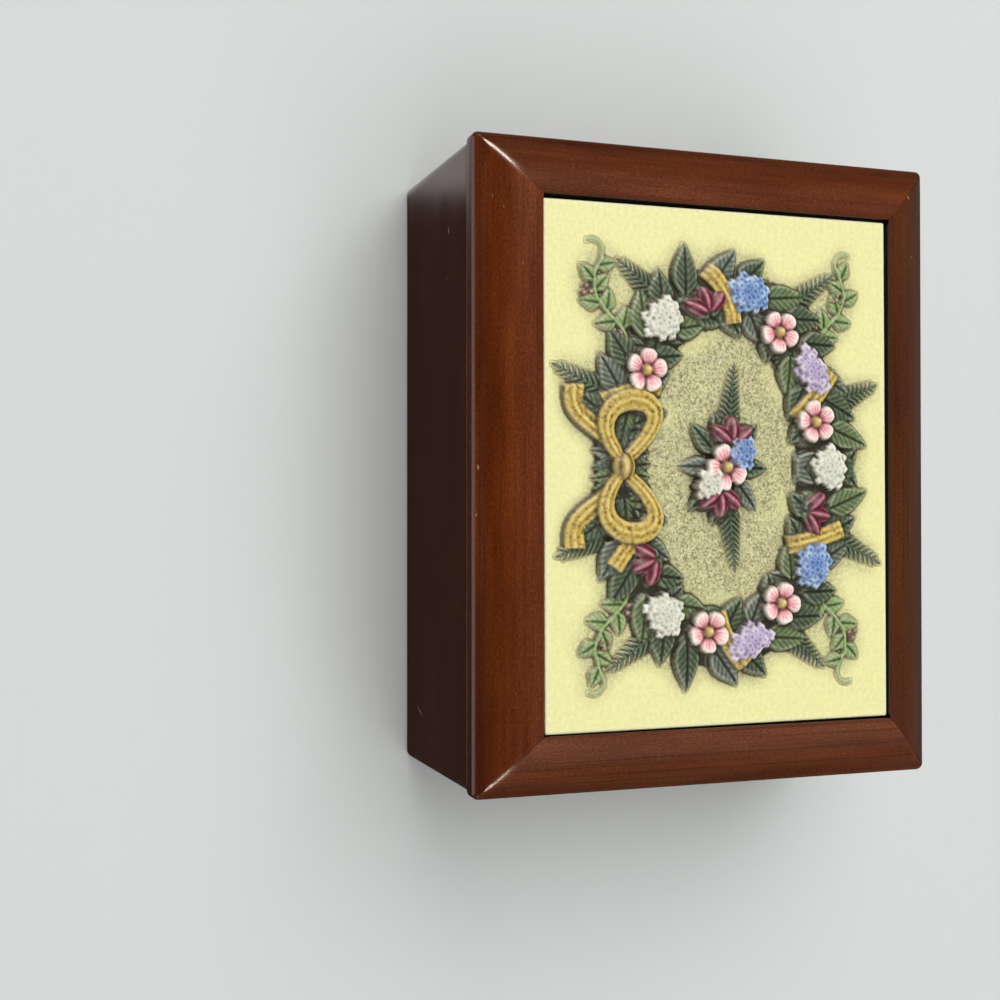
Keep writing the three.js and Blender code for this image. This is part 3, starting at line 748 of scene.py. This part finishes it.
def flower_head(x, y, angle, half_length, half_width, colours):
    """A domed head of many small flowers, set in a spiral so that they fill it evenly."""
    part, along, left = window(x, y, angle, half_length)
    f = np.hypot(along / half_length, left / half_width)
    dome = HEAD_BASE + HEAD_RISE * np.sqrt(np.clip(1 - HEAD_FLATNESS * f ** 2, 0, 1))
    lay(part, f < HEAD_SHARE, dome, colours, np.zeros(f.shape))
    count = int(FLORET_CROWDING * half_length * half_width / FLORET_SIZE ** 2)
    for i in range(count):
        r = math.sqrt((i + 0.5) / count)
        spoke = i * TURN * GOLDEN_PART
        place = moved(x, y, angle, half_length * r * math.cos(spoke), half_width * r * math.sin(spoke))
        top = HEAD_BASE + HEAD_RISE * math.sqrt(1 - HEAD_FLATNESS * r * r) + FLORET_LIFT * scatter(i + 2)
        radius = FLORET_SIZE * (0.85 + 0.3 * scatter(3 * i))
        floret(*place, radius, scatter(i), top, colours, 0.25 + 0.4 * scatter(5 * i))


DRAPE = 7
LIFT = 0.75
STEP_LAP = 0.2
PLEATS = 3
HEM_PLACE = 0.86
HEM_WIDTH = 0.1
HEM_HEIGHT = 0.16


def ribbon(path, steps, crown, colours, lines=0.0):
    """A strip along a path of (x, y, half width, height), lower at its edges by its crown. One with lines is
    cloth, which drapes over what lies under it."""
    stops = [path(step / steps) for step in range(steps + 1)]
    under = soften(heights, DRAPE) + LIFT if lines else heights - 1
    for (x0, y0, half0, z0), (x1, y1, half1, z1) in zip(stops, stops[1:]):
        length = math.hypot(x1 - x0, y1 - y0)
        angle = math.atan2(y1 - y0, x1 - x0)
        reach = length / 2 + max(half0, half1) + 0.3
        part, along, left = window((x0 + x1) / 2, (y0 + y1) / 2, angle, reach)
        share = np.clip(along / length + 0.5, 0, 1)
        across = left / (half0 + (half1 - half0) * share)
        inside = (np.abs(along) < length / 2 + STEP_LAP) & (np.abs(across) < 1)
        pleat = np.cos(across * math.pi * PLEATS)
        height = np.maximum(z0 + (z1 - z0) * share, under[part]) - crown * across ** 2 + lines * pleat
        hem = np.exp(-((np.abs(across) - HEM_PLACE) / HEM_WIDTH) ** 2) * (lines > 0)
        tone = 0.62 + 0.14 * pleat - 0.25 * across ** 2 + 0.2 * hem
        dry_specks = 0.2 * np.clip(-mottle[part] - 0.5, 0, 1) * (lines > 0)
        lay(part, inside, height + HEM_HEIGHT * hem, colours, tone - dry_specks)


FROND_LENGTH = 4.4
FROND_TAPER = 0.62
FROND_LEAN = 0.8
FROND_SLIMNESS = 0.32
FROND_ROWS = 1.6
PLAIN_PITCH = 9


def fern(x, y, angle, length, pairs):
    """A fern frond: a thin stem with rows of slim leaves that shorten to its tip."""
    tip = moved(x, y, angle, length)

    def stem(share):
        return x + (tip[0] - x) * share, y + (tip[1] - y) * share, 0.5 - 0.2 * share, 1.1 - 0.4 * share

    ribbon(stem, steps=3, crown=0.3, colours=DARK_LEAF)
    rows = round(FROND_ROWS * pairs)
    for k in range(rows):
        share = 0.06 + 0.9 * k / rows
        size = FROND_LENGTH * (1 - FROND_TAPER * share)
        width = FROND_SLIMNESS * size + 0.15
        root = 1.0 - 0.3 * share
        place = moved(x, y, angle, length * share)
        for way in (-1, 1):
            aside = angle + way * FROND_LEAN
            leaf(*place, aside, size, width, root, tip=0.5, colours=DARK_LEAF, crown=0.45, pitch=PLAIN_PITCH)
    end = moved(x, y, angle, 0.92 * length)
    leaf(
        *end, angle, length=2.2, width=1, root=0.7, tip=0.5, colours=DARK_LEAF, crown=0.4, pitch=PLAIN_PITCH)


# The bank of foliage under the garland, its small filling leaves, and its two rows of large ones
off_oval = np.hypot(spots_x / OVAL_HALF_LENGTH, spots_y / OVAL_HALF_WIDTH)
steepness = np.hypot(spots_x / OVAL_HALF_LENGTH ** 2, spots_y / OVAL_HALF_WIDTH ** 2) / (off_oval + 0.001)
outward = (off_oval - 1) / (steepness + 0.001)
whole_tile = (slice(None), slice(None))
bank = MOUND_HEIGHT * (1 - (outward / MOUND_HALF_WIDTH) ** 2)
lay(whole_tile, np.abs(outward) < MOUND_HALF_WIDTH, bank, DARK_LEAF, 0.1 + 0 * bank)
# Each row: how many, how far out, which way they face, and the heights of their roots and tips
FILLING_ROWS = ((46, 0, math.pi / 2, 1.35, 1.2), (62, 1.0, 0, 1.45, 0.55), (56, -1.0, math.pi, 1.45, 0.55))
FILLING_LENGTH = 5.4
FILLING_SPREAD = 1.2
FILLING_WIDTH = 3.6
FILLING_SWAY = 1.1
FILLING_CROWN = 0.4
FILLING_PITCH = 1.2
FILLING_PAINTS = (GREY_LEAF, DARK_LEAF, OLIVE_LEAF, DARK_LEAF)
for count, out, facing, root, tip in FILLING_ROWS:
    for i in range(count):
        x, y, normal = on_oval((i + scatter(i)) / count, out)
        angle = normal + facing + FILLING_SWAY * (scatter(3 * i + 1) - 0.5)
        length = FILLING_LENGTH + FILLING_SPREAD * scatter(5 * i)
        colours = FILLING_PAINTS[i % len(FILLING_PAINTS)]
        leaf(x, y, angle, length, FILLING_WIDTH, root, tip, colours, FILLING_CROWN, FILLING_PITCH)
KNOT_LEAVES = (-0.021, -0.012, 0.009, 0.018)
KNOT_LEAN = 14
KNOT_LEAF_LENGTH = 6.2
KNOT_LEAF_WIDTH = 3.8
for turn in KNOT_LEAVES:
    colours = OLIVE_LEAF if turn > 0 else GREY_LEAF
    for _, out, facing, root, tip in FILLING_ROWS[1:]:
        x, y, normal = on_oval(turn, out)
        angle = normal + facing + math.copysign(KNOT_LEAN * turn, turn * out)
        size = (KNOT_LEAF_LENGTH, KNOT_LEAF_WIDTH)
        leaf(x, y, angle, *size, root, tip, colours, FILLING_CROWN, FILLING_PITCH)
# Each row: how many on a side, how far out, which way they face, lean, length, spread of lengths, width
LEAF_ROWS = ((15, 2, 0, 0.75, 9.6, 2.6, 6.2), (12, -2, math.pi, -0.75, 7.6, 1.8, 5.4))
LEAF_PAINTS = (DARK_LEAF, GREY_LEAF, DARK_LEAF, OLIVE_LEAF, DARK_LEAF)
LEAF_SWAY = 0.5
LEAF_ROOT = 1.7
LEAF_TIP = 0.7
BOW_GAP = 0.03
for count, out, facing, lean, length, spread, width in LEAF_ROWS:
    for way in (-1, 1):
        for i in range(count):
            x, y, normal = on_oval(way * (BOW_GAP + (0.5 - BOW_GAP) * (i + 0.5) / count), out)
            sway = LEAF_SWAY * (scatter(i) - 0.5) * math.copysign(1, lean)
            colours = LEAF_PAINTS[i % len(LEAF_PAINTS)]
            angle = normal + facing + way * (lean + sway)
            leaf(x, y, angle, length + spread * scatter(i + 3), width, LEAF_ROOT, LEAF_TIP, colours)

# Sprigs into the corners: two ferns, and a vine with small leaves and berries
# Each fern: how far round from the corner, lean, length
CORNER_FERNS = ((-0.055, 0.15, 12), (0.05, -0.2, 13.5))
FERN_OUT = 5
VINE_OUT = 4
VINE_AIM_X = 48
VINE_AIM_Y = 35
VINE_TURN = 0.35
VINE_BEND = 0.75
VINE_SWING = 0.9
VINE_LENGTH = 30
VINE_STEPS = 28
VINE_CURL = 12.8
CURL_START = 0.72
VINE_LEAVES = 7
VINE_LEAF_LEAN = 0.9
BERRIES = 3
BERRY_RADIUS = 0.8
BERRY_ASIDE = 1.9
for quarter in range(4):
    turn = (quarter + 0.5) / 4
    for shift, lean, length in CORNER_FERNS:
        x, y, angle = on_oval(turn + shift, FERN_OUT)
        fern(x, y, angle + lean, length, pairs=5)
    x, y, angle = on_oval(turn, VINE_OUT)
    bend = 1 if quarter % 2 == 1 else -1
    aim = math.atan2(math.copysign(VINE_AIM_Y, y) - y, math.copysign(VINE_AIM_X, x) - x)
    trail = []
    for k in range(VINE_STEPS):
        trail.append((x, y))
        curl = VINE_CURL * max(0, k / VINE_STEPS - CURL_START)
        swing = VINE_SWING * math.sin(TURN * k / VINE_STEPS) + curl
        x, y = moved(x, y, aim + bend * (VINE_BEND * swing - VINE_TURN), VINE_LENGTH / VINE_STEPS)
    last = VINE_STEPS - 1
    ribbon(lambda s: (*trail[round(s * last)], 0.6 - 0.3 * s, 0.85), last, crown=0.5, colours=LIGHT_LEAF)
    for k in range(VINE_LEAVES):
        share = 0.16 + 0.62 * k / VINE_LEAVES
        step = int(share * VINE_STEPS)
        x, y = trail[step]
        heading = math.atan2(trail[step + 1][1] - y, trail[step + 1][0] - x)
        aside = heading + math.copysign(VINE_LEAF_LEAN, k % 2 - 0.5)
        leaf(x, y, aside, 5.6 - 1.4 * share, 4 - share, root=0.5, tip=0.6, colours=LIGHT_LEAF, pitch=1.3)
        for m in range(BERRIES if k % 4 == 0 else 0):
            cluster = moved(x, y, heading, 0, BERRY_ASIDE)
            berry(*moved(*cluster, heading + TURN * m / BERRIES, 1), BERRY_RADIUS, 0.3, BERRY)

# The ribbon's bands over the garland, the flowers, and the bow at the bottom
STATIONS = 18
BAND_EVERY = 3
BAND_SLANT = 0.018
BAND_REACH = 6
BAND_HALF_WIDTH = 2.1
CLOTH_LINES = 0.07
for i in range(1, STATIONS, BAND_EVERY):
    def wound(s, middle=(i + 0.5) / STATIONS):
        across = 2 * s - 1
        x, y, _ = on_oval(middle + BAND_SLANT * across, BAND_REACH * across)
        return x, y, BAND_HALF_WIDTH, 0.5 + 2 * math.sqrt(1 - (0.96 * across) ** 2)
    ribbon(wound, steps=16, crown=0.4, colours=OCHRE, lines=CLOTH_LINES)
# Each head of small flowers: half its length, half its width, its paint
HEADS = {"blue": (5, 4.2, BLUE), "white": (4.8, 4, WHITE), "lilac": (5.6, 3.3, LILAC)}
KINDS = ("blossom", "blue", "buds", "white", "blossom", "lilac")
BLOSSOM_RADIUS = 4.9
FLOWER_OFFSET = 1.3


def flower(kind, x, y, angle, scale, turn):
    """One flower of the garland or the spray."""
    if kind == "blossom":
        blossom(x, y, BLOSSOM_RADIUS * scale, turn)
    elif kind == "buds":
        buds(x, y, angle)
    else:
        half_length, half_width, colours = HEADS[kind]
        flower_head(x, y, angle + math.pi / 2, half_length * scale, half_width * scale, colours)


for i in range(2, STATIONS - 1):
    x, y, angle = on_oval(i / STATIONS, math.copysign(FLOWER_OFFSET, i % 2 - 0.5))
    flower(KINDS[i % len(KINDS)], x, y, angle, 1, scatter(i))
TAIL_LENGTH = 16
TAIL_FALL = 11
TAIL_WAVE = 1.5
LOOP_LENGTH = 13.5
LOOP_SPREAD = 7.4
LOOP_LIFT = 2.4
BOW_HEIGHT = 2.2
BOW_CROWN = 0.7
KNOT_LENGTH = 6
for way in (-1, 1):
    def tail(s):
        wave = TAIL_WAVE * math.sin(TURN * 1.1 * s)
        y = -OVAL_HALF_WIDTH - 1 - TAIL_FALL * s ** 0.8 + wave
        return way * (1.5 + TAIL_LENGTH * s), y, 1.6 + 0.9 * s, BOW_HEIGHT - s
    ribbon(tail, steps=36, crown=BOW_CROWN, colours=OCHRE, lines=CLOTH_LINES)

    def loop(s):
        out = 1 - abs(2 * s - 1)
        rise = math.sin(math.pi / 2 * out)
        opened = rise ** 2
        spread = math.sin(math.pi * out) * rise
        y = -OVAL_HALF_WIDTH + LOOP_LIFT * opened + math.copysign(LOOP_SPREAD, s - 0.5) * spread
        return way * (1 + LOOP_LENGTH * opened), y, 1.4 + 1.1 * opened, BOW_HEIGHT + 1.2 * opened
    ribbon(loop, steps=96, crown=BOW_CROWN, colours=OCHRE, lines=CLOTH_LINES)
bud(-KNOT_LENGTH / 2, -OVAL_HALF_WIDTH, 0, KNOT_LENGTH, width=5.6, base=1.2, colours=OCHRE)

# The spray in the middle of the oval
SPRAY_LEAVES = 10
SPRAY_HALF_LENGTH = 4.8
SPRAY_HALF_WIDTH = 3
SPRAY_TURN = 0.3
SPRAY_FERN_LEAN = 0.12
for i in range(SPRAY_LEAVES):
    a = TURN * i / SPRAY_LEAVES + SPRAY_TURN
    x = SPRAY_HALF_LENGTH * math.cos(a)
    y = SPRAY_HALF_WIDTH * math.sin(a)
    colours = GREY_LEAF if i % 3 == 1 else DARK_LEAF
    length = 8 + 2 * scatter(i)
    leaf(x, y, math.atan2(y, x), length, width=4.4, root=1.5, tip=0.6, colours=colours)
for way in (-1, 1):
    heading = (0 if way > 0 else math.pi) + SPRAY_FERN_LEAN * way
    fern(8 * way, 1, heading, length=15, pairs=6)
# Each flower: kind, place, direction, scale
SPRAY_FLOWERS = (
    ("buds", -7.5, 1.5, math.pi, 1),
    ("buds", 7.5, -1.5, 0, 1),
    ("blue", -3.5, 4, 1.2, 0.75),
    ("white", 3.8, -4.2, 1.2, 0.75),
    ("blossom", 0, 0, 0, 1.06),
)
for kind, x, y, angle, scale in SPRAY_FLOWERS:
    flower(kind, x, y, angle, scale, SPRAY_TURN)


def thinned(field):
    """Averages the finer drawing grid at each point of the mesh."""
    for axis in (0, 1):
        field = np.moveaxis(field, axis, 0)
        ends = np.concatenate([field[1:2], field, field[-2:-1]])
        field = ((ends[:-2] + 2 * ends[1:-1] + ends[2:]) / 4)[::FINER]
        field = np.moveaxis(field, 0, axis)
    return field


# The brown wash in the hollows, the dry brush on the high spots, and the sandy ground near the garland
CAST_ROUNDING = 1
LEAST_RELIEF = 0.02
HOLLOW_DEPTH = 0.5
DEEP_DEPTH = 1.1
STEEPEST = 3.2
HIGH_SPOT = 0.16
DRY_BRUSH = seen("#EDEBD8")
DRY_SHARE = 0.38
CRISPNESS = 0.7
RUBBED_EDGE = 1.3
RUBBED_CREAM = 0.6
EDGE_FALL = 0.3
EDGE_FALL_REACH = 0.5
PATCH_CELLS = 9
HALO_CELLS = 8
SANDY_HALF_LENGTH = 31
SANDY_HALF_WIDTH = 18.5
SANDY_FADE = 0.35
SANDY_MARGIN = 1.5
height = thinned(soften(heights, CAST_ROUNDING))
colour = thinned(paint)
tile_x = thinned(spots_x)
tile_y = thinned(spots_y)
motif = height > LEAST_RELIEF
hollow = np.clip((soften(height, 2) - height) / HOLLOW_DEPTH, 0, 1)
deep = np.clip((soften(height, 5) - height) / DEEP_DEPTH, 0, 1)
slope = np.clip(np.hypot(*np.gradient(height, TILE_WIDTH / CELLS_X)) / STEEPEST, 0, 1)
high = np.clip((height - soften(height, 1)) / HIGH_SPOT, 0, 1)
outline = np.clip(1.5 * soften(1.0 * motif, 1, 1), 0, 1)
on_motif = np.clip(0.75 * hollow + 0.55 * deep + 0.4 * slope * motif, 0, 0.88)
wash = np.where(motif, on_motif, np.clip(0.55 * outline + 0.3 * deep, 0, 0.8))
dry = DRY_SHARE * high * motif * (1 - wash)
colour += dry[..., None] * (DRY_BRUSH - colour)
colour += wash[..., None] * (WASH - colour)
for channel in range(3):
    colour[..., channel] += CRISPNESS * (colour[..., channel] - soften(colour[..., channel], 1, 1))
edge = np.minimum(TILE_WIDTH / 2 - np.abs(tile_x), TILE_DEPTH / 2 - np.abs(tile_y))
rubbed = np.clip(1 - edge / RUBBED_EDGE, 0, 1)
colour += RUBBED_CREAM * rubbed[..., None] * (CREAM - colour)
height -= EDGE_FALL * np.clip(1 - edge / EDGE_FALL_REACH, 0, 1) ** 2
patchy = soften(brush.normal(size=height.shape), PATCH_CELLS)
patchy /= patchy.std()
from_middle = np.hypot(tile_x / SANDY_HALF_LENGTH, tile_y / SANDY_HALF_WIDTH)
sandy = np.clip((1.25 - from_middle + 0.16 * patchy) / SANDY_FADE, 0, 1) * ~motif
halo = np.clip((soften(1.0 * motif, HALO_CELLS) - 0.12) / 0.5 + 0.12 * patchy, 0, 1) * ~motif
sandy = np.maximum(sandy, 0.7 * halo) * (edge > SANDY_MARGIN)

# The top as a fine grid on the relief and a coarse one on the bare ground, then the sides and the back
LEAST_WASH = 0.1
FINE_MARGIN = 0.8
busy = motif | (wash > LEAST_WASH) | (edge < FINE_MARGIN)
busy = soften(1.0 * busy, 1, 1) > 0
rows = CELLS_X // BLOCK
columns = CELLS_Y // BLOCK
fine = np.zeros((rows + 2, columns + 2), bool)
for i in range(rows):
    for j in range(columns):
        fine[i + 1, j + 1] = busy[i * BLOCK:(i + 1) * BLOCK + 1, j * BLOCK:(j + 1) * BLOCK + 1].any()
numbers = np.arange(height.size).reshape(height.shape)
top_faces = []
for i in range(rows):
    for j in range(columns):
        n = numbers[i * BLOCK:(i + 1) * BLOCK + 1, j * BLOCK:(j + 1) * BLOCK + 1]
        if fine[i + 1, j + 1]:
            quads = np.stack([n[:-1, :-1], n[1:, :-1], n[1:, 1:], n[:-1, 1:]], axis=-1)
            top_faces += quads.reshape(-1, 4).tolist()
            continue
        beside = (fine[i + 1, j], fine[i + 2, j + 1], fine[i + 1, j + 2], fine[i, j + 1])
        face = []
        for line, detailed in zip((n[:, 0], n[-1], n[::-1, -1], n[0, ::-1]), beside):
            face += list(line[:-1] if detailed else line[:1])
        top_faces.append(face)
rim = [*numbers[:, 0], *numbers[-1, 1:], *numbers[-2::-1, -1], *numbers[0, -2:0:-1]]
foot = list(range(height.size, height.size + len(rim) // BLOCK))
side_faces = []
for k in range(len(foot)):
    upper = [rim[(k * BLOCK + step) % len(rim)] for step in range(BLOCK + 1)]
    side_faces.append(upper[::-1] + [foot[k], foot[(k + 1) % len(foot)]])
round_x = np.clip((np.abs(tile_x) - TILE_WIDTH / 2 + TILE_CORNER) / TILE_CORNER, 0, 1)
round_y = np.clip((np.abs(tile_y) - TILE_DEPTH / 2 + TILE_CORNER) / TILE_CORNER, 0, 1)
in_corner = (round_x > 0) & (round_y > 0)
pull = np.where(in_corner, np.maximum(round_x, round_y) / (np.hypot(round_x, round_y) + 1e-9), 1)
flat_x = np.sign(tile_x) * (np.abs(tile_x) - TILE_CORNER * round_x * (1 - pull))
flat_y = np.sign(tile_y) * (np.abs(tile_y) - TILE_CORNER * round_y * (1 - pull))
set_x = flat_x * math.cos(TILE_TURN) - flat_y * math.sin(TILE_TURN) + TILE_SHIFT_X
set_y = flat_x * math.sin(TILE_TURN) + flat_y * math.cos(TILE_TURN) + TILE_SHIFT_Y
top = np.stack([set_x, set_y, height + TILE_GROUND], axis=-1).reshape(-1, 3)
below = top[rim[::BLOCK]] * (1, 1, 0) + (0, 0, TILE_BOTTOM)
points = np.concatenate([top, below])
faces = top_faces + side_faces + [foot[::-1]]
used = np.zeros(len(points), bool)
used[[k for face in faces for k in face]] = True
renumber = np.cumsum(used) - 1
faces = [[int(renumber[k]) for k in face] for face in faces]
mesh = bpy.data.meshes.new("painted_tile")
mesh.from_pydata((points[used] * MM).tolist(), [], faces)
mesh.shade_smooth()
smooth = np.ones(len(faces), bool)
smooth[len(top_faces):] = False
mesh.polygons.foreach_set("use_smooth", smooth)
back_colour = np.tile(CREAM, (len(foot), 1))
painted = linear(np.clip(np.concatenate([colour.reshape(-1, 3), back_colour])[used], 0, 1))
rgba = np.concatenate([painted, np.ones((len(painted), 1))], axis=1)
mesh.attributes.new("paint", "FLOAT_COLOR", "POINT").data.foreach_set("color", rgba.ravel())
sand = np.concatenate([sandy.ravel(), np.zeros(len(foot))])[used]
mesh.attributes.new("sand", "FLOAT", "POINT").data.foreach_set("value", sand)

# Painted cast resin: matt hand-laid colour with a faint eggshell sheen, finely mottled by the brush, and
# a sandy stipple of tan and grey where the ground was dabbed.
SAND_GRAIN = 0.26
MOTTLE_GRAIN = 0.5
SPECK_SPACING = 3.4
SPECK_SHARE = 0.35
SPECK_COLOUR = "#7A6B3E"
SAND_COLOURS = [(0.32, "#747052"), (0.48, "#A19E76"), (0.66, "#C4C096")]
SAND_DEPTH = 0.12
THIN_PAINT = 0.9
THICK_PAINT = 1.05
painted_resin, tree, shader = new_material(
    "hand-painted cast resin", {"Roughness": 0.5, "Specular IOR Level": 0.4})
place = add_node(tree, "TexCoord").outputs["Object"]
hand_paint = add_node(tree, "Attribute", attribute_name="paint").outputs["Color"]
sand_share = add_node(tree, "Attribute", attribute_name="sand").outputs["Fac"]
dabs = add_node(tree, "TexNoise", [
    ("Vector", place), ("Scale", 1 / (SAND_GRAIN * 2 * MM)), ("Detail", 3), ("Roughness", 0.6)])
stipple = add_node(tree, "MapRange", [
    ("Value", dabs), ("From Min", 0.66), ("From Max", 0.4), ("To Min", 0.55), ("To Max", 1)])
dabbed = add_node(tree, "Math", [(0, stipple), (1, sand_share)], operation="MULTIPLY")
sand_colour = add_node(tree, "ValToRGB", [(0, dabs)], SAND_COLOURS)
sanded = add_node(tree, "Mix", [(0, dabbed), (6, hand_paint), (7, sand_colour)], data_type="RGBA")
strokes = add_node(tree, "TexNoise", [
    ("Vector", place), ("Scale", 1 / (MOTTLE_GRAIN * 2 * MM)), ("Detail", 4), ("Roughness", 0.7)])
uneven = add_node(tree, "MapRange", [
    ("Value", strokes), ("From Min", 0.3), ("From Max", 0.7),
    ("To Min", THIN_PAINT), ("To Max", THICK_PAINT)])
brushed = add_node(tree, "VectorMath", [
    (0, sanded.outputs[2]), ("Scale", uneven)], operation="SCALE")
cells = add_node(tree, "TexVoronoi", [("Vector", place), ("Scale", 1 / (SPECK_SPACING * MM))])
speck = add_node(tree, "MapRange", [
    ("Value", cells), ("From Min", 0.05), ("From Max", 0.03), ("To Max", SPECK_SHARE)])
specked = add_node(tree, "Mix", [
    (0, speck), (6, brushed), (7, (*linear(SPECK_COLOUR), 1))], data_type="RGBA")
tree.links.new(specked.outputs[2], shader.inputs["Base Color"])
grit = add_node(tree, "Math", [(0, dabs), (1, sand_share)], operation="MULTIPLY")
grit_bump = add_node(tree, "Bump", [("Height", grit), ("Strength", 0.8), ("Distance", SAND_DEPTH * MM)])
brush_bump = add_node(tree, "Bump", [
    ("Height", strokes), ("Strength", 0.25), ("Distance", SAND_DEPTH * MM), ("Normal", grit_bump)])
tree.links.new(brush_bump.outputs[0], shader.inputs["Normal"])
mesh.materials.append(painted_resin)
tile = add_object("painted_tile", mesh)
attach(tile, "root")
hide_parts("relief_tile")

# Studio
# A plain pale floor and backdrop under two large soft lights from above. A window-like light low on each
# side, and a few pale parts of the room, show only as reflections in the lacquer.

FLOOR_REACH = 2.5
FLOOR_CORNERS = 64
floor_mesh = bpy.data.meshes.new("floor")
floor_turns = [TURN * k / FLOOR_CORNERS for k in range(FLOOR_CORNERS)]
floor_rim = [(FLOOR_REACH * math.cos(a), FLOOR_REACH * math.sin(a), 0) for a in floor_turns]
floor_mesh.from_pydata(floor_rim, [], [list(range(FLOOR_CORNERS))])
pale_floor, _, _ = new_material("plain pale floor", {
    "Base Color": (*linear("#CACDCB"), 1), "Roughness": 0.9, "Specular IOR Level": 0.1})
floor_mesh.materials.append(pale_floor)
floor = add_object("floor", floor_mesh)
floor.visible_glossy = False

DAYLIGHT = "#FFFFFF"
WARM_WINDOW = "#FFEEDD"
LIGHT_AIM = Vector((0, 0, 0.05))
# Each light: place, width and height in metres, power in watts, and what it lights
LIGHTS = (
    ("key", (-1.5, 0.43, 2.45), 3.1, 3.1, 99.0, "diffuse"),
    ("fill", (1.5, 0.29, 2.45), 3.1, 3.1, 49.0, "diffuse"),
    ("left_window", (-0.75, -0.25, 0.52), 0.16, 0.6, 14.0, "glossy"),
    ("right_window", (0.78, -0.29, 0.46), 0.045, 0.7, 9.0, "glossy"),
)
for name, place, width, height, power, use in LIGHTS:
    lamp = bpy.data.lights.new(name, "AREA")
    lamp.shape = "RECTANGLE"
    lamp.size = width
    lamp.size_y = height
    lamp.energy = power
    lamp.color = linear(DAYLIGHT if use == "diffuse" else WARM_WINDOW)
    light = add_object(name, lamp)
    light.location = place
    light.rotation_euler = (LIGHT_AIM - light.location).to_track_quat("-Z", "Y").to_euler()
    light.visible_diffuse = use == "diffuse"
    light.visible_glossy = use == "glossy"
sky = bpy.data.worlds.new("soft room light")
sky.use_nodes = True
tree = sky.node_tree
sky_place = add_node(tree, "TexCoord").outputs["Generated"]
# Each pale part of the room: its direction, how near to it the glow starts and is full, its strength
SKY_PARTS = (
    ((0.5, 0.45, 0.74), 0.86, 0.96, 0.24),
    ((-0.5, 0.47, 0.73), 0.84, 0.96, 0.03),
    ((0, 0.97, -0.05), 0.4, 0.95, 0.09),
    ((0, -0.94, -0.34), 0.8, 0.9, 1.5),
)
SKY_LEAST = 0.025
tone = SKY_LEAST
for direction, start, end, strength in SKY_PARTS:
    side = add_node(tree, "VectorMath", [(0, sky_place), (1, direction)], operation="DOT_PRODUCT")
    patch = add_node(tree, "MapRange", [
        ("Value", side.outputs["Value"]), ("From Min", start), ("From Max", end), ("To Max", strength)])
    tone = add_node(tree, "Math", [(0, patch), (1, tone)], operation="ADD")
# Below, the walls mirror the floor: pale beside the left wall and dark before the front one
FLOOR_PALE = 0.68
FLOOR_DARK = 0.035
BACKDROP = 0.62
sky_axes = add_node(tree, "SeparateXYZ", [(0, sky_place)])
low_share = add_node(tree, "MapRange", [
    ("Value", sky_axes.outputs["X"]), ("From Min", -0.217), ("From Max", -0.229)])
low_tone = add_node(tree, "Mix", [(0, low_share), (2, FLOOR_DARK), (3, FLOOR_PALE)])
low_down = add_node(tree, "MapRange", [
    ("Value", sky_axes.outputs["Z"]), ("From Min", -0.45), ("From Max", -0.7)])
all_round = add_node(tree, "Mix", [(0, low_down), (2, tone), (3, low_tone)])
ray = add_node(tree, "LightPath").outputs["Is Camera Ray"]
around = add_node(tree, "Mix", [(0, ray), (2, all_round), (3, BACKDROP)])
tree.nodes["Background"].inputs["Color"].default_value = (1, 1, 1, 1)
tree.links.new(around.outputs[0], tree.nodes["Background"].inputs["Strength"])
bpy.context.scene.world = sky
bpy.context.scene.view_settings.view_transform = "Standard"

# Camera
# Above the front edge and tipped back towards the lid, turned a quarter so that the box's left is at the
# top of the picture.

CAMERA_PLACE = Vector((10.757, -151.016, 341.233)) * MM
CAMERA_TIP = 0.335
CAMERA_ROLL_X = 0.010
CAMERA_ROLL_Z = 0.003
LENS_PIXELS = 1413.97
PICTURE_PIXELS = 1000
SENSOR = 36.0
turned = Matrix.Rotation(CAMERA_ROLL_Z, 3, "Z") @ Matrix.Rotation(CAMERA_ROLL_X, 3, "Y")
turned = turned @ Matrix.Rotation(CAMERA_TIP, 3, "X")
right, up, back = turned.col
camera_data = bpy.data.cameras.new("camera")
camera_data.sensor_width = SENSOR
camera_data.lens = SENSOR * LENS_PIXELS / PICTURE_PIXELS
camera_data.clip_start = 0.01
camera = add_object("camera", camera_data)
axes = Matrix((up, -right, back)).transposed()
camera.matrix_world = Matrix.Translation(CAMERA_PLACE) @ axes.to_4x4()
bpy.context.scene.camera = camera
